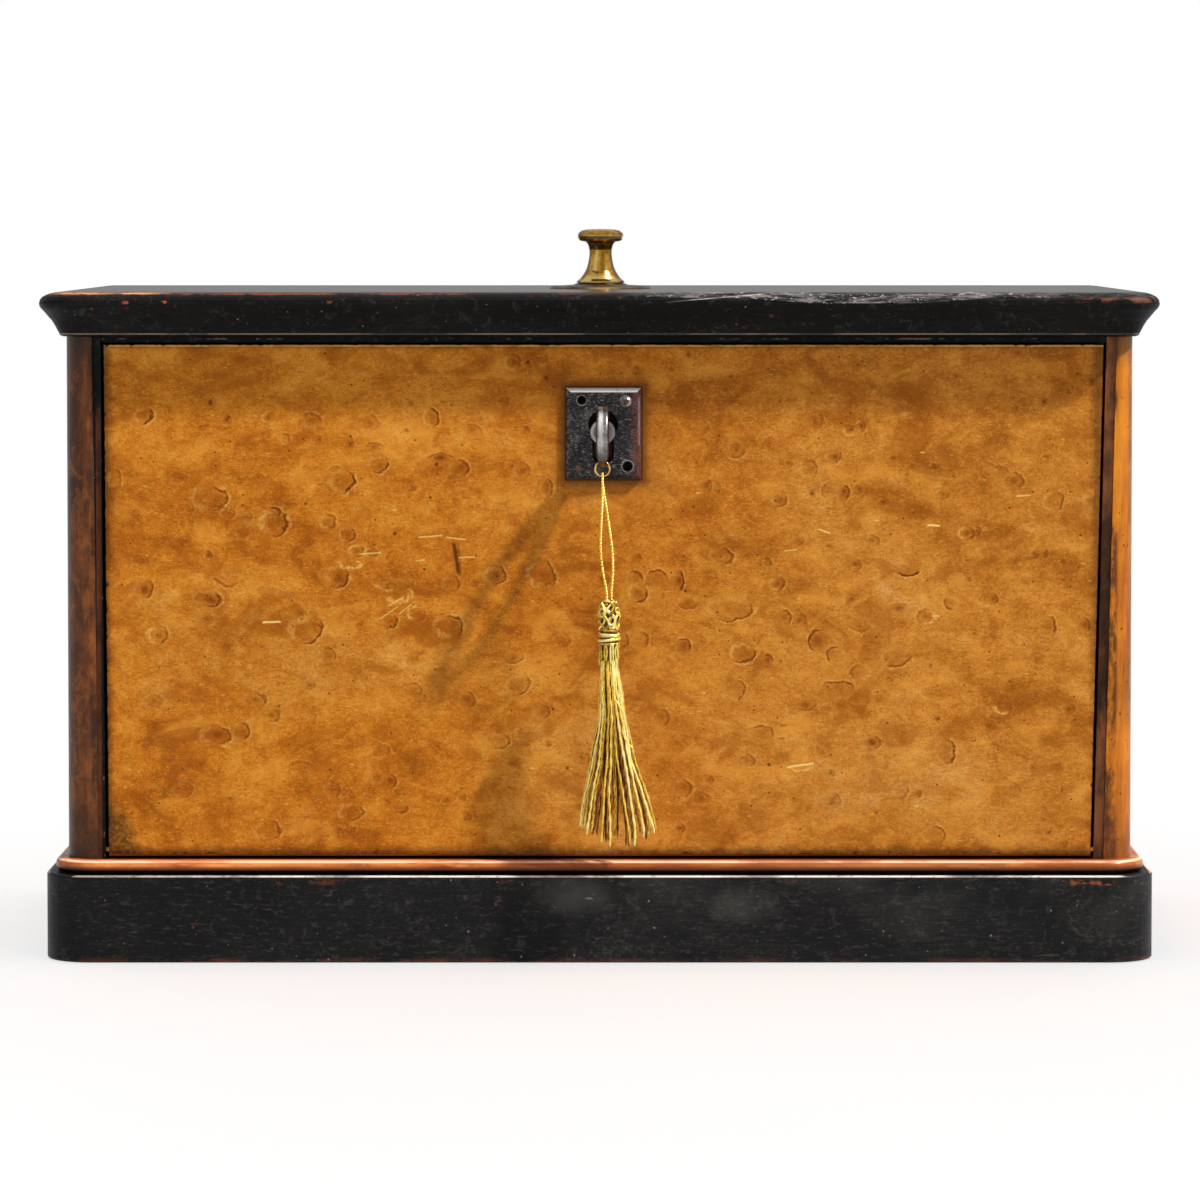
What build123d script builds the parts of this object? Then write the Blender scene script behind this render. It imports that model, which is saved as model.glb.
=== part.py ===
from build123d import *
import os
from math import sin, cos, tan, radians, degrees, pi, sqrt

# ---------------------------------------------------------------------------
# Correspondence box: an upright box for letters, with a lid hinged at the
# back, a fall front on two pins at its bottom edge, a lock with key and
# tassel, a moulded lid edge, a bead above the plinth and a stepped letter
# rack inside.  Millimetres.  X right, Y back, Z up, the front looks to -Y.
# Origin: centre of the footprint, on the underside.
# ---------------------------------------------------------------------------

# --- driving dimensions ----------------------------------------------------
PL_W, PL_D, PL_H = 401.0, 195.0, 31.35      # plinth
PL_T, PL_R = 20.0, 17.0                     # plinth board, plan corner radius
BEAD_TOP, BEAD_OUT = 36.5, 4.6              # bead above the plinth
CA_W, CA_FRONT, CA_BACK, CA_TOP = 385.5, -89.8, 97.0, 225.15
STILE_R = 10.5                              # rounded front corner of a side
SIDE_IN = 180.0                             # inner face of the side boards
REBATE_Y = -78.0                            # the side's rebate behind the fall
ARRIS_L = (180.9, 182.75)                   # inner stile arris, bottom and top
ARRIS_R = (181.9, 186.3)
FLOOR_Z = 35.9                              # top of the bottom board
BACK_T = 8.0

FALL_F, FALL_B = -89.0, -79.0               # fall, front and back face
VENEER_T, LINING_T = 0.8, 0.6
FALL_Z0, FALL_Z1, VEN_Z0 = 37.3, 222.3, 38.2
FALL_XL = (-177.3, -178.5)                  # left edge, bottom and top
FALL_XR = (177.4, 181.5)                    # right edge, bottom and top
PIV_Y, PIV_Z, PIN_R = -86.0, 39.6, 1.2      # fall pivot

LID_Z0, LID_Z1 = 225.3, 241.3
NOSE_X, NOSE_Y, NOSE_R = 201.9, -100.0, 14.0
LIP_Z0 = 223.1

HINGE_Y, HINGE_Z = 99.2, 225.3              # lid pivot
KEY_X, KEY_Z = 1.2, 191.0                   # lock axis
BOW_Y, BOW_Z = -106.0, 189.78
RING_Z, RING_RO, RING_W = 178.45, 2.95, 0.375
CORD_D = 0.95

OUT = "parts"
os.makedirs(OUT, exist_ok=True)


# --- helpers ---------------------------------------------------------------
def box(x0, x1, y0, y1, z0, z1):
    """Axis-aligned box from its limits."""
    return Pos((x0 + x1) / 2, (y0 + y1) / 2, (z0 + z1) / 2) * Box(
        abs(x1 - x0), abs(y1 - y0), abs(z1 - z0))


def cyl(p, r, h, axis="z"):
    """Cylinder from p along +axis."""
    rot = {"z": Rotation(0, 0, 0), "x": Rotation(0, 90, 0), "y": Rotation(-90, 0, 0)}[axis]
    return Pos(*p) * rot * Cylinder(r, h, align=(Align.CENTER, Align.CENTER, Align.MIN))


def cone(p, r0, r1, h, axis="z"):
    rot = {"z": Rotation(0, 0, 0), "x": Rotation(0, 90, 0), "y": Rotation(-90, 0, 0),
           "-z": Rotation(180, 0, 0), "-y": Rotation(90, 0, 0)}[axis]
    return Pos(*p) * rot * Cone(r0, r1, h, align=(Align.CENTER, Align.CENTER, Align.MIN))


def prism_xy(pts, z0, z1):
    """Polygon in plan, from z0 up to z1."""
    return Pos(0, 0, z0) * extrude(make_face(Polyline(*pts, close=True)), z1 - z0)


def prism_xz(pts, y0, y1):
    """Polygon seen from the front, from y0 back to y1."""
    f = make_face(Polyline(*[(x, y0, z) for x, z in pts], close=True))
    return extrude(f, y1 - y0, dir=(0, 1, 0))


def prism_yz(pts, x0, x1):
    """Polygon seen from the side, from x0 to x1."""
    f = make_face(Polyline(*[(x0, y, z) for y, z in pts], close=True))
    return extrude(f, x1 - x0, dir=(1, 0, 0))


def plan_u(hw, front, back, r, z0, z1):
    """Plan with two rounded front corners, from z0 up to z1."""
    e = [Line((-hw, back), (-hw, front + r)),
         RadiusArc((-hw, front + r), (-hw + r, front), -r),
         Line((-hw + r, front), (hw - r, front)),
         RadiusArc((hw - r, front), (hw, front + r), -r),
         Line((hw, front + r), (hw, back)),
         Line((hw, back), (-hw, back))]
    f = make_face(e)
    s = extrude(f, z1 - z0)
    if s.bounding_box().max.Z < (z1 - z0) / 2:
        s = Pos(0, 0, z1 - z0) * s
    return Pos(0, 0, z0) * s


def group(*solids):
    out = []
    for s in solids:
        out += list(s.solids())
    return Compound(children=[Solid(x.wrapped) for x in out])


def save(name, shape):
    ss = list(shape.solids())
    if len(ss) == 1:
        shape = ss[0]
    else:
        shape = Compound(children=[Solid(x.wrapped) for x in ss])
    export_step(shape, os.path.join(OUT, name + ".step"))


BIG = 400.0


def mitre(side, front, half):
    """Plan region of the left, front or right piece, split on 45 degrees."""
    if side == "front":
        return prism_xy([(-half - 60, front - 60), (half + 60, front - 60),
                         (half - 60, front + 60), (-half + 60, front + 60)], -10, 260)
    if side == "left":
        return prism_xy([(-half - 60, front - 60), (-half + 60, front + 60),
                         (-half + 60, 120), (-half - 60, 120)], -10, 260)
    return prism_xy([(half + 60, front - 60), (half + 60, 120),
                     (half - 60, 120), (half - 60, front + 60)], -10, 260)


# --- plinth ----------------------------------------------------------------
hw = PL_W / 2
pf, pb = -PL_D / 2, PL_D / 2
outer = plan_u(hw, pf, pb, PL_R, 0, PL_H)
top_edges = [e for e in outer.edges() if abs(e.center().Z - PL_H) < 0.01 and e.center().Y < pb - 1]
outer = fillet(top_edges, 1.1)
low_edges = [e for e in outer.edges() if abs(e.center().Z) < 0.01 and e.center().Y < pb - 1]
outer = chamfer(low_edges, 0.5)
ring = outer - box(-hw + PL_T, hw - PL_T, pf + PL_T, pb + 5, -1, PL_H + 1)
BB_BACK = pb - 12.0                          # back board of the plinth
ring_fl = ring - box(-hw - 5, hw + 5, BB_BACK, pb + 5, -1, PL_H + 1)
save("plinth_front", ring_fl & mitre("front", pf, hw))
save("plinth_left", ring_fl & mitre("left", pf, hw))
save("plinth_right", ring_fl & mitre("right", pf, hw))
save("plinth_back", box(-hw, hw, BB_BACK, pb, 0, PL_H))
ix, iy0, iy1 = hw - PL_T, pf + PL_T, BB_BACK
save("base_baize", box(-ix, ix, iy0, iy1, 0, 0.8))
save("base_board", box(-ix, ix, iy0, iy1, 0.8, 4.8))
gb = []
for sx in (-1, 1):
    gb.append(prism_xy([(sx * ix, iy0), (sx * (ix - 26), iy0), (sx * ix, iy0 + 26)], 4.8, PL_H))
    gb.append(prism_xy([(sx * ix, iy1), (sx * (ix - 26), iy1), (sx * ix, iy1 - 26)], 4.8, PL_H))
save("glue_blocks", group(*gb))

# --- bead ------------------------------------------------------------------
chw = CA_W / 2
bead = plan_u(chw + BEAD_OUT, CA_FRONT - BEAD_OUT, CA_BACK, STILE_R + BEAD_OUT, PL_H, BEAD_TOP)
be = [e for e in bead.edges() if (abs(e.center().Z - BEAD_TOP) < 0.01 or abs(e.center().Z - PL_H) < 0.01)
      and e.center().Y < CA_BACK - 1]
bead = fillet(be, 2.3)
bead = bead - plan_u(chw, CA_FRONT, CA_BACK + 10, STILE_R, PL_H - 1, BEAD_TOP + 1)
save("bead_front", bead & mitre("front", CA_FRONT, chw))
save("bead_left", bead & mitre("left", CA_FRONT, chw))
save("bead_right", bead & mitre("right", CA_FRONT, chw))

# --- carcass ---------------------------------------------------------------
body = plan_u(chw, CA_FRONT, CA_BACK, STILE_R, PL_H, CA_TOP)


def side(sx, arris):
    b, t = arris
    keep = prism_xz([(sx * b, PL_H), (sx * 200, PL_H), (sx * 200, CA_TOP), (sx * t, CA_TOP)],
                    CA_FRONT - 1, REBATE_Y)
    rear = box(sx * SIDE_IN, sx * 200, REBATE_Y, CA_BACK, PL_H, CA_TOP)
    return body & (keep + rear)


side_l, side_r = side(-1, ARRIS_L), side(1, ARRIS_R)
# holes for the fall's two pivot pins
pin_in = 10.0
hole_l = cyl((-ARRIS_L[0] - pin_in + 2.5, PIV_Y, PIV_Z), PIN_R, 60, "x")
hole_r = cyl((ARRIS_R[0] + pin_in - 2.5 - 60, PIV_Y, PIV_Z), PIN_R, 60, "x")
save("side_board_left", side_l - hole_l)
save("side_board_right", side_r - hole_r)
save("bottom_board", box(-SIDE_IN, SIDE_IN, CA_FRONT, CA_BACK, PL_H, FLOOR_Z))

# dark slips in the rebates, beside the fall
SL_F, GAP = -87.6, 1.2
sl = prism_xz([(FALL_XL[0] - GAP, FLOOR_Z), (-ARRIS_L[0], FLOOR_Z), (-ARRIS_L[1], CA_TOP),
               (FALL_XL[1] - GAP, CA_TOP)], SL_F, REBATE_Y)
sr = prism_xz([(FALL_XR[0] + GAP, FLOOR_Z), (ARRIS_R[0], FLOOR_Z), (ARRIS_R[1], CA_TOP),
               (FALL_XR[1] + GAP, CA_TOP)], SL_F, REBATE_Y)
trim = box(-SIDE_IN, SIDE_IN, -95, -70, PL_H - 2, FLOOR_Z)
save("edge_slip_left", (sl - side_l - hole_l) - trim)
save("edge_slip_right", (sr - side_r - hole_r) - trim)

# pivot pins, fixed in the sides, and their sockets in the fall
pin_l = cyl((-ARRIS_L[0] - pin_in + 2.5, PIV_Y, PIV_Z), PIN_R, 19.0, "x")
pin_r = cyl((ARRIS_R[0] + pin_in - 2.5 - 19.0, PIV_Y, PIV_Z), PIN_R, 19.0, "x")
save("fall_pivot_pins", group(pin_l, pin_r))

# back board, with the holes of the hinge screws
HX = 118.0                                   # hinges at +-HX
LEAF_T, LEAF_W = 1.3, 44.0
scr = [-15.0, 0.0, 15.0]


def screw(x, y, z, length, axis):
    """Countersunk wood screw, head flush at y or z, pointing along axis."""
    d = {"-y": (0, -1, 0), "-z": (0, 0, -1), "z": (0, 0, 1), "y": (0, 1, 0)}[axis]
    h = cone((x, y, z), 2.0, 1.0, 1.1, axis if axis in ("-z", "-y") else axis)
    p = (x + d[0] * 1.1, y + d[1] * 1.1, z + d[2] * 1.1)
    rot = {"-y": Rotation(90, 0, 0), "-z": Rotation(180, 0, 0), "z": Rotation(0, 0, 0),
           "y": Rotation(-90, 0, 0)}[axis]
    s = Pos(*p) * rot * Cylinder(1.0, length - 1.1, align=(Align.CENTER, Align.CENTER, Align.MIN))
    return h + s


fix_scr, mov_scr = [], []
for hx in (-HX, HX):
    for i, dx in enumerate(scr):
        fix_scr.append(screw(hx + dx, CA_BACK + LEAF_T, 216.5 - (3.0 if i == 1 else 0), 7.0, "-y"))
        mov_scr.append(screw(hx + dx, CA_BACK + LEAF_T, 233.5 + (3.0 if i == 1 else 0), 9.0, "-y"))
fix_all, mov_all = group(*fix_scr), group(*mov_scr)
back = box(-SIDE_IN, SIDE_IN, CA_BACK - BACK_T, CA_BACK, FLOOR_Z, CA_TOP)
for s in fix_scr:
    back = back - s
save("back_board", back)
save("lid_hinge_screws_fixed", fix_all)
save("lid_hinge_screws_moving", mov_all)

# --- lid hinges ------------------------------------------------------------
KN_R, KN_P = 2.1, 1.2
leaves_f, leaves_m, pins = [], [], []
for hx in (-HX, HX):
    x0, x1 = hx - LEAF_W / 2, hx + LEAF_W / 2
    third = LEAF_W / 3
    bar = cyl((x0, HINGE_Y, HINGE_Z), KN_R, LEAF_W, "x")
    mid = box(x0 + third, x1 - third, 90, 110, 210, 240)
    fx = box(x0, x1, CA_BACK, CA_BACK + LEAF_T, 209.5, 224.4) + (bar - mid)
    fx = fx - box(x0 + third - 0.15, x1 - third + 0.15, CA_BACK - 1, 110, 222.6, 240)
    fx = fx - cyl((x0 - 1, HINGE_Y, HINGE_Z), KN_P, LEAF_W + 2, "x")
    mv = box(x0, x1, CA_BACK, CA_BACK + LEAF_T, 228.0, 240.3)
    mv = mv + box(x0 + third + 0.15, x1 - third - 0.15, CA_BACK, CA_BACK + LEAF_T, 226.3, 229)
    mv = mv + cyl((x0 + third + 0.15, HINGE_Y, HINGE_Z), KN_R, third - 0.3, "x")
    mv = mv - cyl((x0 - 1, HINGE_Y, HINGE_Z), KN_P + 0.05, LEAF_W + 2, "x")
    for s in fix_scr:
        fx = fx - s
    for s in mov_scr:
        mv = mv - s
    leaves_f.append(fx)
    leaves_m.append(mv)
    pins.append(cyl((x0, HINGE_Y, HINGE_Z), KN_P, LEAF_W, "x"))
save("lid_hinge_leaf_fixed_left", leaves_f[0])
save("lid_hinge_leaf_fixed_right", leaves_f[1])
save("lid_hinge_leaf_moving_left", leaves_m[0])
save("lid_hinge_leaf_moving_right", leaves_m[1])
save("lid_hinge_pins", group(*pins))

# --- letter rack -----------------------------------------------------------
RY0, RY1 = -76.5, CA_BACK - BACK_T
ck = [(RY0, FLOOR_Z), (RY1, FLOOR_Z), (RY1, 214.0), (44.0, 214.0), (-58.0, 104.0), (RY0, 96.0)]
save("rack_cheek_left", prism_yz(ck, -SIDE_IN, -SIDE_IN + 5))
save("rack_cheek_right", prism_yz(ck, SIDE_IN - 5, SIDE_IN))
RX = SIDE_IN - 5
SHELVES = {"partition_front": (-42.0, 104.0), "partition_middle": (2.0, 150.0), "partition_rear": (46.0, 196.0)}
for nm, (y, ztop) in SHELVES.items():
    p = box(-RX, RX, y, y + 4.0, FLOOR_Z, ztop)
    te = [e for e in p.edges() if abs(e.center().Z - ztop) < 0.01 and abs(e.center().X) < 1]
    save(nm, fillet(te, 1.6))

# --- lid -------------------------------------------------------------------
prof = [(4.25 - 2.65, LID_Z0), (2.7, 225.7), (3.1, 226.6), (3.7, 227.7), (4.25, 228.8), (4.9, 229.9), (5.6, 231.0),
        (6.5, 232.0), (7.4, 233.1), (8.35, 234.2), (9.4, 235.3), (9.9, 236.0), (10.2, 237.0),
        (9.86, 238.5), (8.9, 239.6), (7.5, 240.3), (6.2, 240.8), (4.6, 241.1), (2.4, LID_Z1)]
lid = plan_u(NOSE_X, NOSE_Y, CA_BACK, NOSE_R, LID_Z0, LID_Z1)
# the moulded edge is cut by a cutter that runs along both sides and the front;
# o is the overhang beyond the carcass side, so the nose is o = 10.2
noz = 10.2
cut_pts = [(o - noz, z) for o, z in prof]
cut_pts = [(cut_pts[0][0], LID_Z0 - 2)] + cut_pts + [(cut_pts[-1][0], LID_Z1 + 2), (3.0, LID_Z1 + 2), (3.0, LID_Z0 - 2)]
path = Wire([Line((-NOSE_X, CA_BACK + 10), (-NOSE_X, NOSE_Y + NOSE_R)),
             RadiusArc((-NOSE_X, NOSE_Y + NOSE_R), (-NOSE_X + NOSE_R, NOSE_Y), -NOSE_R),
             Line((-NOSE_X + NOSE_R, NOSE_Y), (NOSE_X - NOSE_R, NOSE_Y)),
             RadiusArc((NOSE_X - NOSE_R, NOSE_Y), (NOSE_X, NOSE_Y + NOSE_R), -NOSE_R),
             Line((NOSE_X, NOSE_Y + NOSE_R), (NOSE_X, CA_BACK + 10))])
sec = make_face(Polyline(*[(-NOSE_X - a, CA_BACK + 10, z) for a, z in cut_pts], close=True))
cutter = sweep(sec, path=path)
lid = lid - cutter
LB_X, LB_F = 178.0, -74.0                    # the flat lid board inside the moulded edge
board = box(-LB_X, LB_X, LB_F, CA_BACK, LID_Z0, LID_Z1)
edge = lid - board

KNOB_R_STUD = 2.0
board = board - cyl((0, 0, LID_Z0 - 1), 7.5, 6.2 + 1.0, "z") - cyl((0, 0, 220), KNOB_R_STUD, 30, "z")
for s in mov_scr:
    board = board - s
save("lid_board", board)

# keep plate between the two halves of the lip; the bolt rises into its slot
BX0, BX1 = KEY_X - 10.0, KEY_X + 10.0        # bolt head
BY0, BY1 = -85.0, -82.0
KP0, KP1 = KEY_X - 20.0, KEY_X + 20.0
lip = prism_xz([(FALL_XL[1] - GAP + 0.4, LIP_Z0), (FALL_XR[1] + GAP - 0.4, LIP_Z0),
                (FALL_XR[1] + GAP - 0.4, LID_Z0), (FALL_XL[1] - GAP + 0.4, LID_Z0)], -87.6, -79.4)
slot = box(BX0 - 0.8, BX1 + 0.8, BY0 - 0.8, BY1 + 0.8, 220, LID_Z0 + 0.5)
keep_scr = [screw(KEY_X - 15.5, -83.5, LIP_Z0, 7.0, "z"), screw(KEY_X + 15.5, -83.5, LIP_Z0, 7.0, "z")]
kplate = box(KP0, KP1, -87.6, -79.4, LIP_Z0, LID_Z0) - slot
for s in keep_scr:
    kplate, edge = kplate - s, edge - s
save("keep_plate", kplate)
save("keep_plate_screws", group(*keep_scr))
save("lid_lip_left", lip & box(-300, KP0, -100, -70, 200, 240))
save("lid_lip_right", lip & box(KP1, 300, -100, -70, 200, 240))
save("cornice_front", edge & mitre("front", NOSE_Y, NOSE_X))
save("cornice_left", edge & mitre("left", NOSE_Y, NOSE_X))
save("cornice_right", edge & mitre("right", NOSE_Y, NOSE_X))
save("lid_lining", box(-173, 173, -73, 87, LID_Z0 - 0.5, LID_Z0))

# knob, its back plate, stud, washer and nut
K0 = 243.3
kp = [(8.3, K0), (9.0, K0 + 0.35), (9.0, K0 + 0.8), (7.75, 245.0), (6.55, 246.6), (5.7, 248.0), (5.05, 249.6),
      (4.65, 251.2), (4.4, 252.6), (4.2, 254.3), (4.3, 255.9), (4.55, 257.2), (4.95, 258.3), (5.6, 258.9),
      (7.6, 259.3), (8.45, 260.1), (8.68, 261.1), (8.3, 262.3), (7.2, 263.2), (5.2, 263.65), (0, 263.85)]
kf = make_face(Polyline((KNOB_R_STUD, 0, K0), *[(r, 0, z) for r, z in kp[:-1]], (0, 0, 263.85), (0, 0, 256.0),
                        (KNOB_R_STUD, 0, 256.0), close=True))
save("knob", revolve(kf, Axis.Z, 360))
bp = make_face(Polyline((KNOB_R_STUD, 0, LID_Z1), (19.0, 0, LID_Z1), (19.0, 0, LID_Z1 + 0.5), (18.2, 0, LID_Z1 + 1.0),
                        (10.2, 0, LID_Z1 + 1.5), (9.2, 0, K0), (KNOB_R_STUD, 0, K0), close=True))
save("knob_backplate", revolve(bp, Axis.Z, 360))
save("knob_stud", cyl((0, 0, 227.0), KNOB_R_STUD, 256.0 - 227.0, "z"))
save("knob_washer", cyl((0, 0, 230.5), 6.0, 1.0, "z") - cyl((0, 0, 220), KNOB_R_STUD, 30, "z"))
nut = Pos(0, 0, 227.4) * extrude(RegularPolygon(4.6, 6), 3.1)
save("knob_nut", nut - cyl((0, 0, 220), KNOB_R_STUD, 30, "z"))

# --- fall front ------------------------------------------------------------
def fall_slab(z0, z1, y0, y1):
    h = FALL_Z1 - FALL_Z0

    def xl(z):
        return FALL_XL[0] + (FALL_XL[1] - FALL_XL[0]) * (z - FALL_Z0) / h

    def xr(z):
        return FALL_XR[0] + (FALL_XR[1] - FALL_XR[0]) * (z - FALL_Z0) / h

    return prism_xz([(xl(z0), z0), (xr(z0), z0), (xr(z1), z1), (xl(z1), z1)], y0, y1)


fb0, fb1 = FALL_F + VENEER_T, FALL_B - LINING_T
fboard = fall_slab(FALL_Z0, FALL_Z1, fb0, fb1)
fe = [e for e in fboard.edges() if abs(e.center().Z - FALL_Z0) < 0.01 and abs(e.center().Y - fb0) < 0.01]
fboard = fillet(fe, 1.2)

# lock: plate let into the back and the top edge, cap round the works
LPX0, LPX1, LPZ0 = KEY_X - 24.0, KEY_X + 24.0, 173.0
plate_full = box(LPX0, LPX1, fb1 - 1.5, fb1, LPZ0, FALL_Z1) + box(LPX0, LPX1, -87.0, fb1, FALL_Z1 - 1.5, FALL_Z1)
CX0, CX1, CZ0, CZ1 = KEY_X - 16.0, KEY_X + 16.0, 178.0, 214.0
CYF = -86.6                                   # cap's front face
cap_full = box(CX0, CX1, CYF, fb1 - 1.5, CZ0, CZ1)
cap = cap_full - box(CX0 + 1, CX1 - 1, CYF + 1, fb1 - 1.4, CZ0 + 1, CZ1 - 1)
bolt_way = box(BX0 - 0.25, BX1 + 0.25, BY0 - 0.25, BY1 + 0.25, CZ1 - 3, FALL_Z1 + 1)
cap = cap - bolt_way
keyhole = cyl((KEY_X, -95, KEY_Z), 2.9, 10.5, "y") + box(KEY_X - 1.5, KEY_X + 1.5, -95, -84.5, KEY_Z - 8.0, KEY_Z)
cap = cap - (cyl((KEY_X, -95, KEY_Z), 2.8, 12, "y") + box(KEY_X - 1.4, KEY_X + 1.4, -95, -85.0, KEY_Z - 7.6, KEY_Z))
plate = plate_full - bolt_way
lock_scr = [screw(LPX0 + 4.0, fb1, 178.0, 6.2, "-y"), screw(LPX1 - 4.0, fb1, 178.0, 6.2, "-y"),
            screw(LPX0 + 4.0, fb1, 214.0, 6.2, "-y"), screw(LPX1 - 4.0, fb1, 214.0, 6.2, "-y")]
for s in lock_scr:
    plate = plate - s
save("lock_plate", plate)
save("lock_cap", cap)
save("lock_screws", group(*lock_scr))
# leaf spring that holds the bolt where the key leaves it
spring = box(CX0 + 1, CX0 + 1.6, BY0, BY1, 196, 210) + box(CX0 + 1.6, BX0 - 0.4, BY0, BY1, 203.6, 204.2)
save("lock_spring", spring)

fwork = plate_full + cap_full + bolt_way + keyhole
for s in lock_scr:
    fwork = fwork + s
sock_r = 2.0
sock_len = 12.0
sx_l, sx_r = FALL_XL[0] + 0.3, FALL_XR[0] - 0.3
sock_hole_l = cyl((sx_l - 5, PIV_Y, PIV_Z), sock_r, sock_len + 5, "x")
sock_hole_r = cyl((sx_r - sock_len, PIV_Y, PIV_Z), sock_r, sock_len + 5, "x")
fboard = fboard - fwork - sock_hole_l - sock_hole_r
save("fall_board", fboard)
bore = cyl((-250, PIV_Y, PIV_Z), PIN_R + 0.05, 500, "x")
save("fall_pivot_sockets", group(cyl((sx_l, PIV_Y, PIV_Z), sock_r, sock_len, "x") - bore,
                                 cyl((sx_r - sock_len, PIV_Y, PIV_Z), sock_r, sock_len, "x") - bore))

hole_big = cyl((KEY_X, -95, KEY_Z + 2.6), 4.6, 20, "y") + box(KEY_X - 3.4, KEY_X + 3.4, -95, -75, KEY_Z - 7.4, KEY_Z + 2.6) \
    + cyl((KEY_X, -95, KEY_Z - 7.4), 3.4, 20, "y")
ven = fall_slab(VEN_Z0, FALL_Z1, FALL_F, fb0) - keyhole
save("fall_veneer", ven)
lin = fall_slab(FALL_Z0 + 0.6, FALL_Z1 - 0.2, fb1, FALL_B) - box(LPX0, LPX1, -90, -70, LPZ0, 230)
save("fall_lining", lin)

# iron key plate: bevelled, four corner holes, key slot
EX, EZ, EW, EH, ET = 1.55, 190.5, 26.9, 32.9, 2.0
esc = box(EX - EW / 2, EX + EW / 2, FALL_F - ET, FALL_F, EZ - EH / 2, EZ + EH / 2)
fr = [e for e in esc.edges() if abs(e.center().Y - (FALL_F - ET)) < 0.01]
e_top = [e for e in fr if abs(e.center().Z - (EZ + EH / 2)) < 0.1]
e_oth = [e for e in fr if abs(e.center().Z - (EZ + EH / 2)) >= 0.1]
esc = chamfer(e_oth + e_top, 1.2)
kh = cyl((EX - 0.2, -95, KEY_Z + 2.6), 5.3, 8, "y") \
    + box(EX - 4.1, EX + 3.7, -95, -87, KEY_Z - 8.0, KEY_Z + 2.6) + cyl((EX - 0.2, -95, KEY_Z - 8.0), 3.9, 8, "y")
esc = esc - kh
UL, UR, LR, LL = (-7.9, 11.9), (8.2, 11.4), (8.6, -11.9), (-9.1, -12.7)
esc = esc - cyl((EX + UL[0], -95, EZ + UL[1]), 1.4, 8, "y") - cyl((EX + LR[0], -95, EZ + LR[1]), 1.6, 8, "y") \
    - cyl((EX + UR[0], -95, EZ + UR[1]), 1.0, 8, "y") - cyl((EX + LL[0], -95, EZ + LL[1]), 1.2, 8, "y")
save("escutcheon_plate", esc)
dome = Pos(EX + UR[0], FALL_F - ET + 0.2, EZ + UR[1]) * Sphere(2.1)
dome = dome & box(-50, 50, FALL_F - ET - 3, FALL_F - ET, 150, 230)
save("escutcheon_pin_round", dome + cyl((EX + UR[0], FALL_F - ET - 0.6, EZ + UR[1]), 1.0, ET + 0.6, "y"))
save("escutcheon_pin_flush", cyl((EX + LL[0], FALL_F - ET - 0.15, EZ + LL[1]), 1.2, ET + 0.15, "y"))

# --- lock bolt -------------------------------------------------------------
BZ = 222.0                                   # bolt's top when drawn back
bolt = box(BX0, BX1, BY0, BY1, 203.0, BZ)
bolt = bolt + box(KEY_X + 7.8, KEY_X + 10.0, BY0, BY1, KEY_Z - 1.9, 204.0)
bolt = bolt + box(KEY_X + 3.6, KEY_X + 8.0, BY0, BY1, KEY_Z - 1.9, KEY_Z + 0.1)
save("lock_bolt", bolt)

# --- key -------------------------------------------------------------------
key = cyl((KEY_X, -97.5, KEY_Z), 2.5, 97.5 - 81.6, "y")
key = key + box(KEY_X - 1.0, KEY_X + 1.0, BY0 + 0.1, BY1 - 0.1, KEY_Z - 7.0, KEY_Z)
key = key + cyl((KEY_X, -93.6, KEY_Z), 4.5, 2.4, "y")
# bow: an oval ring in the upright plane through the shank, slim at the bottom
HB, HZ = 10.2, 10.83                         # outer half sizes, y and z
ow = extrude(Plane((KEY_X - 2.25, BOW_Y, BOW_Z), x_dir=(0, 1, 0), z_dir=(1, 0, 0)) * Ellipse(HB, HZ), 4.5)
iw = extrude(Plane((KEY_X - 3.5, BOW_Y, 188.98), x_dir=(0, 1, 0), z_dir=(1, 0, 0)) * Ellipse(HB - 3.3, 8.43), 7.0)
be = [e for e in ow.edges() if e.length > 20]
ow = fillet(be, 1.0)
bow = ow - iw
be = [e for e in bow.edges() if e.length > 20 and abs(e.center().X - KEY_X) > 2.0]
bow = fillet(be, 0.45)
for sx in (-1, 1):
    w = prism_xz([(KEY_X + sx * a, RING_Z + b) for a, b in
                  ((1.1, -1.5), (1.1, 0.45), (1.6, 1.3), (1.65, 3.0), (2.25, 6.5), (4.0, 6.5), (4.0, -1.5))],
                 BOW_Y - 7, BOW_Y + 7)
    bow = bow - w
key = key + bow
# a groove round the bottom of the rim, the ring's seat
seat = Pos(KEY_X, BOW_Y, RING_Z) * Rotation(90, 0, 0) * Torus(RING_RO - RING_W, RING_W + 0.12)
key = key - seat
save("key", key)

# --- ring ------------------------------------------------------------------
save("key_ring", Pos(KEY_X, BOW_Y, RING_Z) * Rotation(90, 0, 0) * Torus(RING_RO - RING_W, RING_W))

# --- tassel ----------------------------------------------------------------
WIRE_Z = RING_Z - RING_RO + RING_W            # centre of the ring's lowest wire
HEAD_T, HEAD_B, SK_B = 131.4, 107.3, 43.6
FR = 0.955                                    # fold radius round the wire
route = [(2.75, -106.75, HEAD_T), (2.75, -106.75, 134.9), (1.35, -106.6, 140.8), (0.35, -106.9, 149.2),
         (0.65, -107.2, 157.8), (1.15, -107.1, 165.8), (1.2, BOW_Y - FR, 172.9),
         (1.2, BOW_Y - FR, WIRE_Z + FR), (1.2, BOW_Y + FR, WIRE_Z + FR), (1.2, BOW_Y + FR, 172.9),
         (2.4, -105.0, 165.6), (3.55, -105.2, 157.6), (4.75, -105.3, 149.2), (5.0, -105.4, 141.4),
         (4.3, -105.35, 134.9), (4.3, -105.35, HEAD_T)]
V = [Vector(*p) for p in route]
radii, run = [], [(V[i + 1] - V[i]).length for i in range(len(V) - 1)]
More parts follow.
